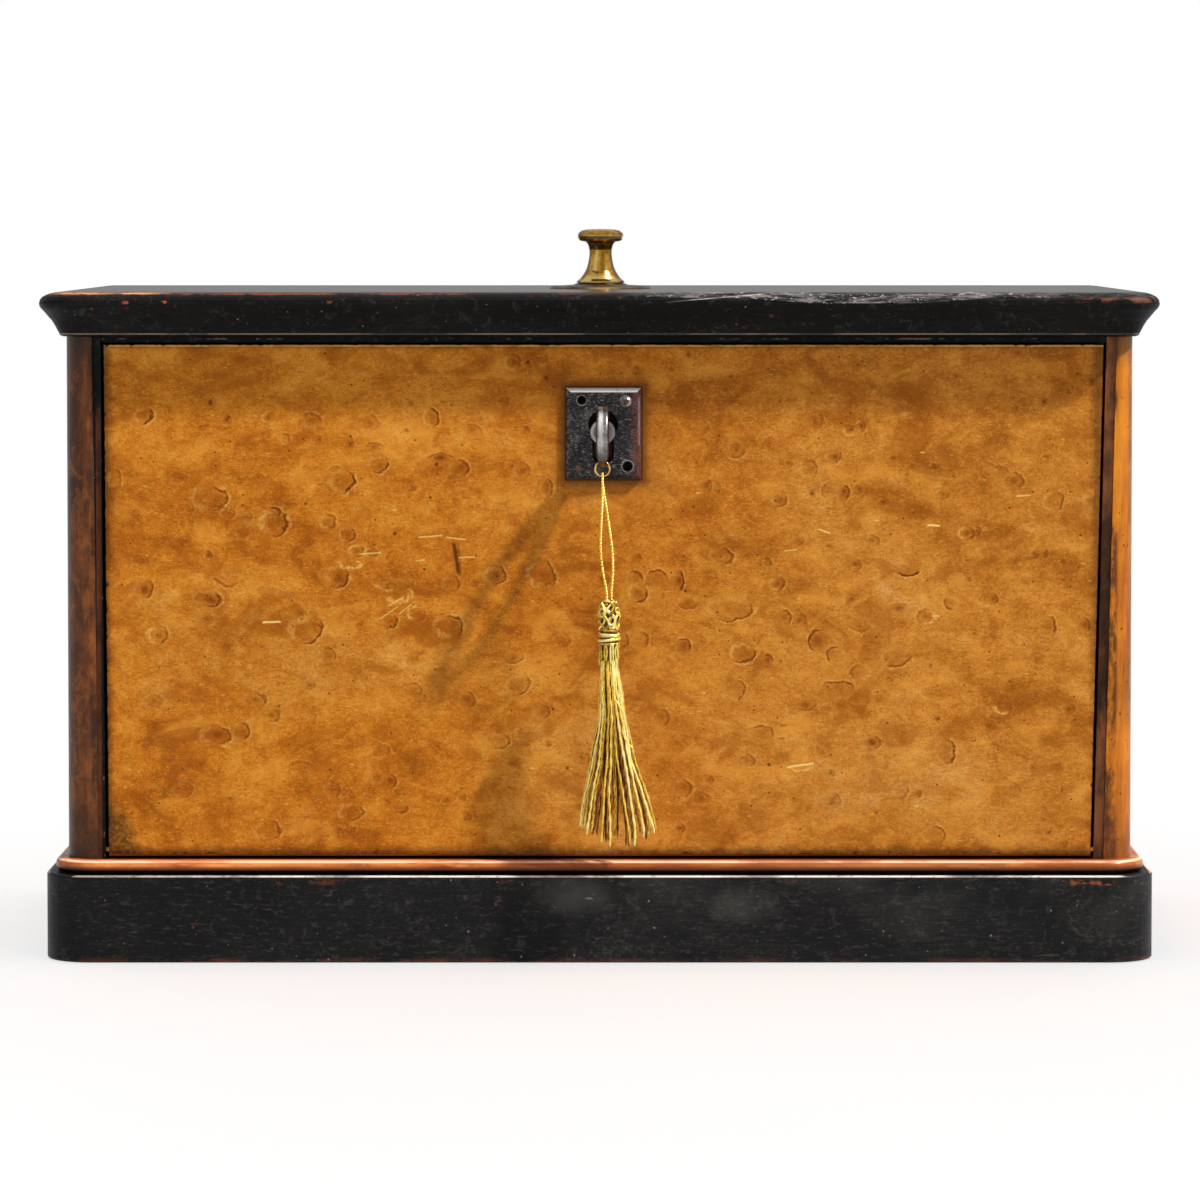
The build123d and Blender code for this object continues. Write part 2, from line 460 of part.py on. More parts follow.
for i in range(1, len(V) - 1):
    turn = (V[i] - V[i - 1]).get_angle(V[i + 1] - V[i])
    r = 0.45 * min(run[i - 1], run[i]) / tan(radians(turn) / 2)
    if abs(turn - 90) < 1.5 and abs(V[i].Z - (WIRE_Z + FR)) < 0.01:
        r = FR * 0.999
    radii.append(round(r, 3))
print("cord runs  ", [round(a, 1) for a in run])
print("cord radii ", radii)
cpath = FilletPolyline(*route, radius=radii)
csec = Plane(origin=route[0], z_dir=(0, 0, 1)) * Circle(CORD_D / 2)
cord = sweep(csec, path=cpath)
clen = cpath.length
print("cord length %.2f  volume ratio %.4f" % (clen, cord.volume / (clen * pi * CORD_D ** 2 / 4)))
save("tassel_cord", cord)
hx0 = 3.5
head = make_face(Polyline((0, 0, HEAD_T), (2.7, 0, HEAD_T), (3.6, 0, HEAD_T - 1.2), (3.7, 0, 122.0), (3.2, 0, 120.6),
                          (4.0, 0, 119.6), (4.1, 0, 116.4), (3.3, 0, 115.6), (3.5, 0, HEAD_B), (0, 0, HEAD_B), close=True))
save("tassel_head", Pos(hx0, BOW_Y, 0) * revolve(head, Axis.Z, 360))
secs = [(HEAD_B, hx0, 3.5, 3.5), (91.3, 4.4, 5.6, 5.4), (73.2, 5.3, 9.0, 8.0), (58.6, 6.0, 13.0, 10.8), (SK_B, 6.4, 15.6, 12.4)]
skirt = loft([Plane((x, BOW_Y, z)) * Ellipse(rx, ry) for z, x, rx, ry in secs], ruled=True)
save("tassel_skirt", skirt)
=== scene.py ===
"""Correspondence box: the looks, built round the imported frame. Metres, row frame."""
import math
import random

import bmesh
import bpy
import numpy as np
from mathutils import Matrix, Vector


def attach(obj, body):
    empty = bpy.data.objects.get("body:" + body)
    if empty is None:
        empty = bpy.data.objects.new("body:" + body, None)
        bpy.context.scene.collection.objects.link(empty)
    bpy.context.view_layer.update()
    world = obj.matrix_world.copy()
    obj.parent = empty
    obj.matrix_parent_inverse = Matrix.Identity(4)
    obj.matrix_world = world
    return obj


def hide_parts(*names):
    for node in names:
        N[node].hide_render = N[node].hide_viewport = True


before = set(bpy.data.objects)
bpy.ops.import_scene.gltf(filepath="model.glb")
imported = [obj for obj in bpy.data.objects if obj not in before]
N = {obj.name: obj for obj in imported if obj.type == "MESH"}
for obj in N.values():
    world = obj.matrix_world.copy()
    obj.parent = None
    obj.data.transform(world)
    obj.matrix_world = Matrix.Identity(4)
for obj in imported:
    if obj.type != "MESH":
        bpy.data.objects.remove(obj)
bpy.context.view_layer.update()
rng = random.Random(7)
scene = bpy.context.scene
scene.view_settings.view_transform = "Standard"

# --- camera ----------------------------------------------------------------
cam = bpy.data.objects.new("camera", bpy.data.cameras.new("camera"))
scene.collection.objects.link(cam)
cam.data.sensor_width = 36.0
cam.data.lens = 148.16
cam.data.shift_x, cam.data.shift_y = -0.0206, -0.1432
cam.data.clip_start, cam.data.clip_end = 0.02, 60.0
cam.location = (0.00912, -1.86582, 0.26673)
cam.rotation_euler = (math.radians(90 - 2.4), 0, 0)
scene.camera = cam


# --- graph helper ----------------------------------------------------------
def lin(c):
    c = c / 255.0
    return c / 12.92 if c <= 0.04045 else ((c + 0.055) / 1.055) ** 2.4


def C(r, g, b):
    return (lin(r), lin(g), lin(b), 1.0)


class Mat:
    """A material and short calls that add nodes to it. A socket argument is a number, a colour or another node's output."""

    def __init__(self, name, rough=0.5, metal=0.0, spec=0.5, coat=0.0, coat_rough=0.1):
        self.m = bpy.data.materials.new(name)
        self.m.use_nodes = True
        self.t = self.m.node_tree
        self.t.nodes.clear()
        self.out = self.t.nodes.new("ShaderNodeOutputMaterial")
        self.bs = self.t.nodes.new("ShaderNodeBsdfPrincipled")
        self.t.links.new(self.bs.outputs[0], self.out.inputs[0])
        self.co = self.t.nodes.new("ShaderNodeTexCoord").outputs["Object"]
        self.bs.inputs["Roughness"].default_value = rough
        self.bs.inputs["Metallic"].default_value = metal
        self.bs.inputs["Specular IOR Level"].default_value = spec
        self.bs.inputs["Coat Weight"].default_value = coat
        self.bs.inputs["Coat Roughness"].default_value = coat_rough
        self._xyz = None

    def put(self, sock, v):
        if isinstance(v, bpy.types.NodeSocket):
            self.t.links.new(v, sock)
        elif v is not None:
            sock.default_value = v

    def set(self, name, v):
        self.put(self.bs.inputs[name], v)

    def xyz(self):
        if self._xyz is None:
            s = self.t.nodes.new("ShaderNodeSeparateXYZ")
            self.t.links.new(self.co, s.inputs[0])
            self._xyz = s.outputs[0], s.outputs[1], s.outputs[2]
        return self._xyz

    def math(self, op, a, b=0.0, c=0.0, clamp=False):
        n = self.t.nodes.new("ShaderNodeMath")
        n.operation, n.use_clamp = op, clamp
        self.put(n.inputs[0], a)
        self.put(n.inputs[1], b)
        self.put(n.inputs[2], c)
        return n.outputs[0]

    def add(self, a, b, clamp=False):
        return self.math("ADD", a, b, clamp=clamp)

    def sub(self, a, b, clamp=False):
        return self.math("SUBTRACT", a, b, clamp=clamp)

    def mul(self, a, b, clamp=False):
        return self.math("MULTIPLY", a, b, clamp=clamp)

    def step(self, v, lo, hi, a=0.0, b=1.0):
        """Smooth step: a below lo, b above hi. lo may be above hi."""
        n = self.t.nodes.new("ShaderNodeMapRange")
        n.interpolation_type = "SMOOTHSTEP"
        if lo > hi:
            lo, hi, a, b = hi, lo, b, a
        self.put(n.inputs[0], v)
        for i, x in zip((1, 2, 3, 4), (lo, hi, a, b)):
            n.inputs[i].default_value = x
        return n.outputs[0]

    def gate(self, v, lo, hi, soft):
        """1 between lo and hi."""
        return self.mul(self.step(v, lo - soft, lo + soft), self.step(v, hi + soft, hi - soft))

    def mix(self, f, a, b, mode="MIX"):
        n = self.t.nodes.new("ShaderNodeMix")
        n.data_type, n.blend_type = "RGBA", mode
        self.put(n.inputs[0], f)
        self.put(n.inputs[6], a)
        self.put(n.inputs[7], b)
        return n.outputs[2]

    def fmix(self, f, a, b):
        n = self.t.nodes.new("ShaderNodeMix")
        n.data_type = "FLOAT"
        self.put(n.inputs[0], f)
        self.put(n.inputs[2], a)
        self.put(n.inputs[3], b)
        return n.outputs[0]

    def place(self, scale=(1, 1, 1), rot=(0, 0, 0), loc=(0, 0, 0), vec=None):
        n = self.t.nodes.new("ShaderNodeMapping")
        self.t.links.new(vec or self.co, n.inputs[0])
        n.inputs["Location"].default_value = loc
        n.inputs["Rotation"].default_value = [math.radians(a) for a in rot]
        n.inputs["Scale"].default_value = scale
        return n.outputs[0]

    def noise(self, scale, detail=3.0, rough=0.5, warp=0.0, vec=None, colour=False):
        n = self.t.nodes.new("ShaderNodeTexNoise")
        self.t.links.new(vec or self.co, n.inputs["Vector"])
        n.inputs["Scale"].default_value = scale
        n.inputs["Detail"].default_value = detail
        n.inputs["Roughness"].default_value = rough
        n.inputs["Distortion"].default_value = warp
        return n.outputs[1 if colour else 0]

    def cells(self, scale, vec=None, feature="F1", random_=1.0):
        n = self.t.nodes.new("ShaderNodeTexVoronoi")
        n.feature = feature
        self.t.links.new(vec or self.co, n.inputs["Vector"])
        n.inputs["Scale"].default_value = scale
        n.inputs["Randomness"].default_value = random_
        return n.outputs

    def ramp(self, f, stops):
        n = self.t.nodes.new("ShaderNodeValToRGB")
        r = n.color_ramp
        while len(r.elements) < len(stops):
            r.elements.new(0.5)
        for e, (p, c) in zip(r.elements, stops):
            e.position, e.color = p, c
        self.put(n.inputs[0], f)
        return n.outputs[0]

    def attr(self, name, what="Vector"):
        n = self.t.nodes.new("ShaderNodeAttribute")
        n.attribute_name = name
        return n.outputs[what]

    def bump(self, h, dist, strength=1.0):
        n = self.t.nodes.new("ShaderNodeBump")
        n.inputs["Strength"].default_value = strength
        n.inputs["Distance"].default_value = dist
        self.put(n.inputs["Height"], h)
        prev = self.bs.inputs["Normal"]
        if prev.is_linked:
            self.t.links.new(prev.links[0].from_socket, n.inputs["Normal"])
        self.t.links.new(n.outputs[0], prev)

    def specks(self, cell_mm, size, share, vec=None, seed=0.0):
        """Small round dots: one in each cell of cell_mm, of radius size (share of the cell), in that share of the cells."""
        v = self.place(loc=(seed, seed * 0.7, seed * 1.3), vec=vec)
        o = self.cells(1000.0 / cell_mm, vec=v)
        sep = self.t.nodes.new("ShaderNodeSeparateColor")
        self.t.links.new(o[1], sep.inputs[0])
        near = self.step(o[0], size, size * 0.45)
        keep = self.math("GREATER_THAN", sep.outputs[0], 1.0 - share)
        return self.mul(near, keep)


def give(material, *names):
    for n in names:
        o = N[n]
        if o.material_slots:
            for s in o.material_slots:
                s.material = material
        else:
            o.data.materials.append(material)


# --- ebonised wood ---------------------------------------------------------
def ebony(name, kind, spec=0.10):
    m = Mat(name, spec=spec)
    x, y, z = m.xyz()
    soft = m.noise(22, 4, 0.6)
    grain = m.noise(1.0, 4, 0.65, vec=m.place((90, 90, 1500)))
    dark, mid, light = {"lid": (C(3, 3, 3), C(9, 8, 8), C(22, 20, 20)), "plinth": (C(7, 7, 7), C(18, 17, 18), C(36, 35, 34)),
                        "slip": (C(8, 8, 9), C(16, 15, 16), C(34, 28, 26)), "keep": (C(6, 5, 5), C(12, 11, 11), C(22, 20, 20))}[kind]
    col = m.ramp(m.add(m.mul(soft, 0.55), m.mul(grain, 0.45)), [(0.36, dark), (0.52, mid), (0.68, light)])
    fine = m.noise(700, 2, 0.6)
    dust = m.mul(m.step(m.noise(9, 5, 0.7, 0.6), 0.52, 0.75), m.step(fine, 0.45, 0.75))
    col = m.mix(m.mul(dust, 0.30), col, C(86, 82, 78))
    scuff = m.step(m.noise(1.0, 5, 0.75, 0.4, vec=m.place((130, 130, 420), rot=(0, 14, 0))), 0.60, 0.74)
    col = m.mix(m.mul(scuff, 0.42), col, C(88, 78, 70))
    mist = m.step(m.noise(210, 4, 0.8, 0.8), 0.54, 0.72)
    col = m.mix(m.mul(mist, 0.20), col, C(92, 90, 88))
    nick = m.add(m.specks(3.6, 0.085, 0.34), m.specks(6.5, 0.08, 0.50, seed=3.1), clamp=True)
    dash = m.specks(7.0, 0.08, 0.30, vec=m.place((0.30, 1, 1.0)), seed=7.7)
    col = m.mix(m.mul(m.add(nick, dash, clamp=True), 0.62), col, C(132, 122, 112))
    rust = m.specks(11.0, 0.07, 0.30, seed=11.3)
    col = m.mix(m.mul(rust, 0.6), col, C(118, 58, 30))
    ragged = m.noise(240, 4, 0.7)
    patch = m.noise(38, 3, 0.6)
    high = None
    if kind == "lid":
        # thin worn line along the top arris, bright at the front left, faint further right and on the sides
        front = m.step(y, -0.0900, -0.0930)
        arris = m.gate(m.add(z, m.mul(m.sub(ragged, 0.5), 0.0006)), 0.24035, 0.24108, 0.00014)
        faint = m.mul(m.step(x, 0.02, -0.06, 0.12, 0.85), m.step(m.add(m.mul(patch, 0.6), m.mul(ragged, 0.4)), 0.44, 0.56, 0.10, 1.0))
        col = m.mix(m.mul(m.mul(arris, faint), 0.85), col, C(112, 58, 36))
        bright = m.mul(m.mul(m.gate(x, -0.1965, -0.158, 0.007), front), m.step(m.noise(300, 3, 0.7, vec=m.place((0.3, 1, 1))), 0.38, 0.54, 0.25, 1.0))
        slim = m.gate(m.add(z, m.mul(m.sub(ragged, 0.5), 0.0005)), 0.24060, 0.24112, 0.00012)
        col = m.mix(m.mul(m.mul(slim, bright), 0.95), col, C(214, 134, 68))
        # greyish scraped band on the nose, at the right half, with painted highlight streaks
        streak = m.noise(1.0, 5, 0.75, 0.6, vec=m.place((70, 70, 620), rot=(0, 7, 0)))
        sag = m.mul(m.gate(x, 0.062, 0.128, 0.022), 0.0021)
        grey = m.mul(m.mul(m.gate(m.add(m.add(z, sag), m.mul(m.sub(patch, 0.5), 0.0014)), 0.23945, 0.24290, 0.00022), front), m.step(x, 0.005, 0.040, 0.0, 1.0))
        grey = m.mul(grey, m.step(x, 0.175, 0.120, 0.28, 1.0))
        col = m.mix(m.mul(grey, m.step(streak, 0.44, 0.60, 0.04, 0.90)), col, C(112, 107, 107))
        endr = m.mul(m.gate(z, 0.2376, 0.2394, 0.0004), m.mul(m.step(x, 0.150, 0.172), m.step(m.noise(210, 4, 0.7, vec=m.place((0.4, 1, 1))), 0.50, 0.62)))
        col = m.mix(m.mul(endr, 0.75), col, C(104, 60, 44))
        fray = m.noise(1.0, 3, 0.7, 0.5, vec=m.place((420, 420, 1300), rot=(0, 32, 0)))
        col = m.mix(m.mul(m.mul(grey, m.step(fray, 0.56, 0.66)), 0.6), col, C(20, 18, 18))
        col = m.mix(m.mul(m.mul(grey, m.step(fray, 0.42, 0.34)), 0.6), col, C(188, 184, 182))
        # a slanting crack with a raised pale lip
        run = m.sub(z, m.add(m.mul(m.sub(x, 0.022), 0.085), 0.2376))
        span = m.gate(x, 0.026, 0.060, 0.003)
        lip = m.mul(m.mul(span, m.step(m.math("ABSOLUTE", run), 0.00034, 0.00012)), front)
        gap = m.mul(m.mul(m.gate(x, 0.038, 0.092, 0.004), m.step(m.math("ABSOLUTE", m.sub(m.math("MINIMUM", run, m.sub(z, 0.23985)), 0.0006)), 0.00034, 0.00010)), front)
        col = m.mix(m.mul(gap, 0.9), col, C(8, 7, 7))
        col = m.mix(m.mul(lip, m.step(streak, 0.40, 0.60, 0.15, 0.75)), col, C(168, 162, 158))
        # painted highlight on the brightest streaks
        streak_highlight = m.mul(m.mul(grey, m.step(streak, 0.62, 0.70)), 0.6)
        col = m.mix(streak_highlight, col, C(182, 178, 176))
        high = m.sub(m.add(m.mul(m.mul(grey, streak), 0.9), m.mul(lip, 0.8)), gap)
        spots = m.mul(m.gate(z, 0.2372, 0.2382, 0.0003), m.step(m.noise(150, 2, 0.6, vec=m.place((1, 1, 0.5))), 0.63, 0.70))
        col = m.mix(m.mul(m.mul(spots, m.step(x, -0.06, -0.14)), 0.8), col, C(168, 84, 36))
        # pale lines under the edge
        low = m.mul(m.gate(z, 0.22605, 0.22650, 0.00012), m.step(m.noise(70, 4, 0.7, vec=m.place((0.4, 1, 1))), 0.36, 0.52, 0.25, 1.0))
        col = m.mix(m.mul(low, 0.62), col, C(148, 132, 118))
        lip_ = m.mul(m.gate(z, 0.22415, 0.22465, 0.00012), m.step(m.noise(60, 4, 0.7, vec=m.place((0.6, 1, 1))), 0.52, 0.60))
        col = m.mix(m.mul(lip_, 0.6), col, C(140, 120, 92))
        # painted sheen: the lid's top face lightened to a mottled grey
        top = m.step(z, 0.2409, 0.2412)
        col = m.mix(m.mul(top, m.step(m.noise(60, 5, 0.7), 0.36, 0.74, 0.10, 0.28)), col, C(84, 80, 80))
    if kind == "plinth":
        foot = m.mul(m.step(z, 0.0022, 0.0006), m.step(m.noise(120, 4, 0.7, vec=m.place((0.35, 0.35, 1))), 0.42, 0.62))
        col = m.mix(m.mul(foot, m.step(x, 0.06, -0.12, 0.35, 0.75)), col, C(104, 48, 28))
        # painted shade: the ledge under the bead darkened to near-black
        ledge = m.step(z, 0.03105, 0.03125)
        # painted highlight: a pale broken line along the front and side arrises
        rim = m.math("MAXIMUM", m.step(y, -0.0958, -0.0962), m.step(m.math("ABSOLUTE", x), 0.1988, 0.1992))
        crest_highlight = m.mul(m.mul(m.step(z, 0.03070, 0.03095), rim), m.step(m.noise(95, 4, 0.7, vec=m.place((0.35, 0.35, 1))), 0.36, 0.54, 0.28, 1.0))
        crest_highlight = m.mul(crest_highlight, m.step(m.noise(420, 3, 0.6), 0.30, 0.45, 0.55, 1.0))
        col = m.mix(m.mul(ledge, 0.7), col, C(14, 12, 12))
        col = m.mix(m.mul(crest_highlight, 0.92), col, C(206, 194, 180))
        edge = m.mul(m.gate(z, 0.0280, 0.0300, 0.0004), m.step(m.noise(75, 4, 0.75, vec=m.place((0.6, 0.6, 1))), 0.58, 0.66))
        side = m.step(m.math("ABSOLUTE", x), 0.15, 0.19, 0.20, 1.0)
        col = m.mix(m.mul(m.mul(edge, side), 0.85), col, C(160, 82, 38))
        haze = m.step(m.noise(14, 3, 0.6), 0.55, 0.75)
        col = m.mix(m.mul(haze, 0.14), col, C(98, 98, 92))
        # painted shade: the plinth darker towards its left end
        col = m.mix(m.step(x, -0.08, -0.19, 0.0, 0.55), col, C(6, 5, 5))
        weave = m.mul(m.step(m.noise(1.0, 3, 0.7, vec=m.place((260, 260, 900), rot=(0, 6, 0))), 0.56, 0.68), 0.10)
        col = m.mix(weave, col, C(120, 116, 110))
        for cx, cz, rad, k in ((-0.007, 0.0245, 0.020, 0.34), (0.048, 0.0215, 0.017, 0.22)):
            dx, dz = m.sub(x, cx), m.mul(m.sub(z, cz), 1.7)
            dull = m.step(m.add(m.math("SQRT", m.add(m.mul(dx, dx), m.mul(dz, dz))), m.mul(m.sub(patch, 0.5), 0.03)), rad, 0.001)
            col = m.mix(m.mul(m.mul(dull, k), m.step(y, -0.090, -0.095)), col, C(94, 92, 86))
    # slips: near-black with browner patches at the right, painted shade standing for the shaded inner edges of the
    # stiles
    if kind == "slip":
        strip = m.mul(m.gate(m.math("ABSOLUTE", x), 0.1797, 0.1815, 0.0002), m.step(z, 0.205, 0.190))
        right = m.step(x, 0.10, 0.11)
        worn = m.mul(right, m.step(m.noise(30, 4, 0.7, vec=m.place((1, 1, 0.5))), 0.44, 0.54, 0.25, 0.95))
        worn = m.add(m.mul(strip, m.sub(1.0, right)), worn, clamp=True)
        col = m.mix(m.mul(worn, m.step(m.noise(160, 4, 0.7, vec=m.place((1, 1, 0.3))), 0.36, 0.60, 0.35, 0.9)), col, m.mix(right, C(96, 52, 28), C(158, 96, 56)))
        chip = m.step(m.noise(260, 3, 0.7, vec=m.place((1, 1, 0.35))), 0.66, 0.72)
        col = m.mix(m.mul(chip, 0.55), col, C(168, 150, 136))
    m.set("Base Color", col)
    rough = m.fmix(m.noise(60, 4, 0.6), 0.34, 0.56)
    if kind == "lid":
        rough = m.mul(rough, m.step(z, 0.24105, 0.24125, 1.0, 0.58))
    m.set("Roughness", rough)
    h = m.add(m.add(m.mul(fine, 0.30), m.mul(grain, 0.30)), m.mul(nick, -0.6))
    if high is not None:
        h = m.add(h, m.mul(high, 3.0))
    m.bump(h, 0.00030, 0.8)
    return m.m


give(ebony("ebony_board", "lid", 0.12), "lid_board")
give(ebony("ebony_lid", "lid", 0.09), "cornice_front", "cornice_left", "cornice_right", "lid_lip_left", "lid_lip_right")
give(ebony("ebony_plinth", "plinth", 0.13), "plinth_front", "plinth_left", "plinth_right", "plinth_back")
# the edge slips: painted shade along the stiles' inner edges
give(ebony("slip_painted_shade", "slip"), "edge_slip_left", "edge_slip_right")
# the keep plate is painted near-black: painted shade in the gap under the lid
give(ebony("keep_painted_shade", "keep"), "keep_plate")


# --- polished wood: bead, stiles, inner boards ------------------------------
def wood(name, dark, mid, light, along="z", fine=1.0, dots=0.0, rough=(0.28, 0.45), coat=0.15):
    m = Mat(name, spec=0.16, coat=coat, coat_rough=0.25)
    s = {"x": (6, 70, 70), "y": (70, 6, 70), "z": (70, 70, 6)}[along]
    f = {"x": (120, 2200, 2200), "y": (2200, 120, 2200), "z": (2200, 2200, 120)}[along]
    bands = m.noise(1.0, 5, 0.6, 0.8, vec=m.place(s))
    fibre = m.noise(1.0, 3, 0.6, vec=m.place(f))
    cloud = m.noise(40, 3, 0.6)
    v = m.add(m.mul(bands, 0.50), m.add(m.mul(cloud, 0.30), m.mul(fibre, 0.20 * fine)))
    col = m.ramp(v, [(0.39, dark), (0.50, mid), (0.61, light)])
    pore = m.step(fibre, 0.58, 0.70)
    col = m.mix(m.mul(pore, 0.45), col, dark)
    if dots:
        d = m.add(m.specks(3.2, 0.15, 0.45), m.specks(5.2, 0.13, 0.5, seed=5.5), clamp=True)
        col = m.mix(m.mul(d, dots), col, C(58, 28, 12))
    m.set("Roughness", m.fmix(m.noise(90, 3, 0.6), rough[0], rough[1]))
    m.bump(fibre, 0.00008, 0.6)
    return m, col


# the two sides: figured wood; the left front stile is darkened to brown as painted shade, the right one is the brighter
# orange wood in the light
def flank(m, col, sign):
    """The side's outer face behind the stile: calmer figured wood with small eyes."""
    x, y, z = m.xyz()
    cloud = m.noise(16, 4, 0.6, 0.8, vec=m.place((1, 0.8, 1.1)))
    mott = m.noise(120, 4, 0.65, 0.5)
    fibre = m.noise(1.0, 3, 0.65, vec=m.place((2000, 430, 2000)))
    v = m.add(m.add(m.mul(cloud, 0.45), m.mul(mott, 0.35)), m.mul(fibre, 0.20))
    face = m.ramp(v, [(0.40, C(118, 62, 16)), (0.50, C(158, 92, 32)), (0.60, C(188, 122, 56))])
    eyes = m.add(m.specks(7.5, 0.16, 0.40, seed=1.9), m.specks(4.2, 0.09, 0.40, seed=5.1), clamp=True)
    face = m.mix(m.mul(eyes, 0.55), face, C(86, 40, 12))
    rim = m.math("MAXIMUM", m.step(m.add(z, m.mul(m.sub(mott, 0.5), 0.02)), 0.216, 0.226), m.step(m.add(z, m.mul(m.sub(mott, 0.5), 0.02)), 0.050, 0.038))
    face = m.mix(m.mul(rim, 0.6), face, C(64, 34, 16))
    where = m.mul(m.step(m.add(y, m.mul(m.sub(cloud, 0.5), 0.03)), -0.082, -0.066), m.step(m.mul(x, sign), 0.1895, 0.1910))
    return m.mix(where, col, face)


m, col = wood("stile_left_shaded", C(44, 20, 10), C(88, 46, 20), C(130, 74, 30), "z", dots=0.6, coat=0.05)
x, y, z = m.xyz()
rub = m.mul(m.step(m.noise(85, 4, 0.7, vec=m.place((1, 1, 0.5))), 0.55, 0.66), m.step(y, -0.07, -0.08))
col = m.mix(m.mul(rub, 0.45), col, C(150, 88, 36))
blot = m.noise(150, 4, 0.75, 0.4, vec=m.place((1, 1, 0.7)))
col = m.mix(m.mul(m.step(blot, 0.48, 0.66), 0.50), col, C(46, 22, 10))
col = m.mix(m.mul(m.step(blot, 0.50, 0.30), 0.45), col, C(158, 90, 36))
# painted shade under the lid: the stile's top darkened
crown = m.step(m.add(z, m.mul(m.sub(m.noise(60, 3, 0.6), 0.5), 0.03)), 0.208, 0.220)
col = m.mix(m.mul(crown, 0.60), col, C(48, 34, 26))
# painted shade on the stile's inner edge
edge = m.mul(m.step(x, -0.1845, -0.1825), m.step(m.noise(120, 4, 0.7, vec=m.place((1, 1, 0.4))), 0.45, 0.6))
col = m.mix(m.mul(edge, 0.8), col, C(30, 18, 12))
out_ = m.mul(m.step(x, -0.1905, -0.1922), m.step(y, -0.075, -0.085))
col = m.mix(m.mul(out_, 0.6), col, C(34, 20, 14))
foot = m.step(m.add(z, m.mul(m.sub(m.noise(60, 3, 0.6), 0.5), 0.02)), 0.056, 0.040)
col = m.mix(m.mul(foot, 0.70), col, C(38, 26, 18))
m.set("Base Color", flank(m, col, -1.0))
give(m.m, "side_board_left")
m, col = wood("stile_right", C(112, 54, 6), C(164, 92, 12), C(192, 120, 26), "z", dots=0.9, coat=0.05)
x, y, z = m.xyz()
rub = m.step(m.noise(60, 4, 0.7, vec=m.place((1, 1, 0.5))), 0.56, 0.70)
col = m.mix(m.mul(rub, 0.5), col, C(120, 56, 12))
# painted shade on the stile's inner edge
edge = m.mul(m.step(x, 0.1875, 0.1860), m.step(m.noise(120, 4, 0.7, vec=m.place((1, 1, 0.4))), 0.42, 0.58))
col = m.mix(m.mul(edge, 0.85), col, C(52, 24, 10))
out_ = m.mul(m.step(x, 0.1900, 0.1918), m.step(y, -0.075, -0.085))
col = m.mix(m.mul(out_, m.step(m.noise(90, 4, 0.7, vec=m.place((1, 1, 0.4))), 0.40, 0.60, 0.2, 0.8)), col, C(74, 40, 18))
pins = m.add(m.specks(4.6, 0.13, 0.75, seed=8.1), m.specks(7.0, 0.09, 0.80, seed=2.3), clamp=True)
col = m.mix(m.mul(pins, 0.85), col, C(74, 34, 8))
col = m.mix(m.mul(m.step(z, 0.0560, 0.0380), 0.50), col, C(84, 40, 14))
# painted shade under the lid: the stile's top darkened
col = m.mix(m.mul(m.step(z, 0.212, 0.222), 0.55), col, C(70, 46, 26))
m.set("Base Color", flank(m, col, 1.0))
give(m.m, "side_board_right")

m, col = wood("bead", C(112, 48, 16), C(178, 90, 34), C(216, 132, 66), "x", dots=0.4, rough=(0.22, 0.4), coat=0.12)
x, y, z = m.xyz()
scuff = m.step(m.noise(70, 5, 0.75, vec=m.place((0.35, 1, 1))), 0.50, 0.64)
col = m.mix(m.mul(scuff, 0.6), col, C(92, 40, 16))
# painted highlight along the middle of the bead
mid_highlight = m.mul(m.gate(z, 0.0338, 0.0352, 0.0004), m.step(m.noise(55, 4, 0.7, vec=m.place((0.3, 1, 1))), 0.44, 0.60))
col = m.mix(m.mul(mid_highlight, 0.75), col, C(236, 150, 84))
browner = m.mul(m.step(x, -0.04, 0.07, 0.10, 0.60), m.step(m.noise(26, 4, 0.7, vec=m.place((0.5, 1, 1))), 0.34, 0.52, 0.45, 1.0))
col = m.mix(browner, col, C(116, 58, 24))
# painted shade on the bead's lower half, near-black in the quirk below it
under = m.step(m.add(z, m.mul(m.sub(scuff, 0.5), 0.0006)), 0.0346, 0.0330)
col = m.mix(m.mul(under, 0.80), col, C(66, 26, 10))
quirk = m.step(z, 0.0334, 0.0327)
col = m.mix(m.mul(quirk, 0.94), col, C(12, 9, 8))
# painted highlight along the bead's top
thin = m.mul(m.gate(z, 0.0356, 0.0363, 0.0002), m.step(m.noise(80, 4, 0.7, vec=m.place((0.35, 1, 1))), 0.36, 0.52, 0.3, 1.0))
col = m.mix(m.mul(thin, 0.75), col, C(238, 196, 166))
m.set("Base Color", col)
give(m.m, "bead_front", "bead_left", "bead_right")

m, col = wood("inner_board", C(104, 62, 34), C(146, 94, 56), C(178, 124, 78), "x", rough=(0.4, 0.6), coat=0.0)
m.set("Base Color", col)
give(m.m, "back_board", "bottom_board", "base_board", "glue_blocks")
m, col = wood("fall_ground", C(96, 52, 26), C(142, 84, 44), C(170, 108, 60), "x", rough=(0.4, 0.6), coat=0.0)
x, y, z = m.xyz()
# painted shade: near-black in the lock way behind the key slot
lockway = m.mul(m.step(m.math("ABSOLUTE", m.sub(x, 0.0012)), 0.0150, 0.0145), m.gate(z, 0.172, 0.208, 0.0004))
col = m.mix(m.mul(lockway, 0.96), col, C(10, 7, 5))
m.set("Base Color", col)
give(m.m, "fall_board")
m, col = wood("rack", C(120, 74, 40), C(168, 112, 66), C(198, 146, 92), "x", rough=(0.3, 0.5), coat=0.1)
m.set("Base Color", col)
give(m.m, "rack_cheek_left", "rack_cheek_right", "partition_front", "partition_middle", "partition_rear")

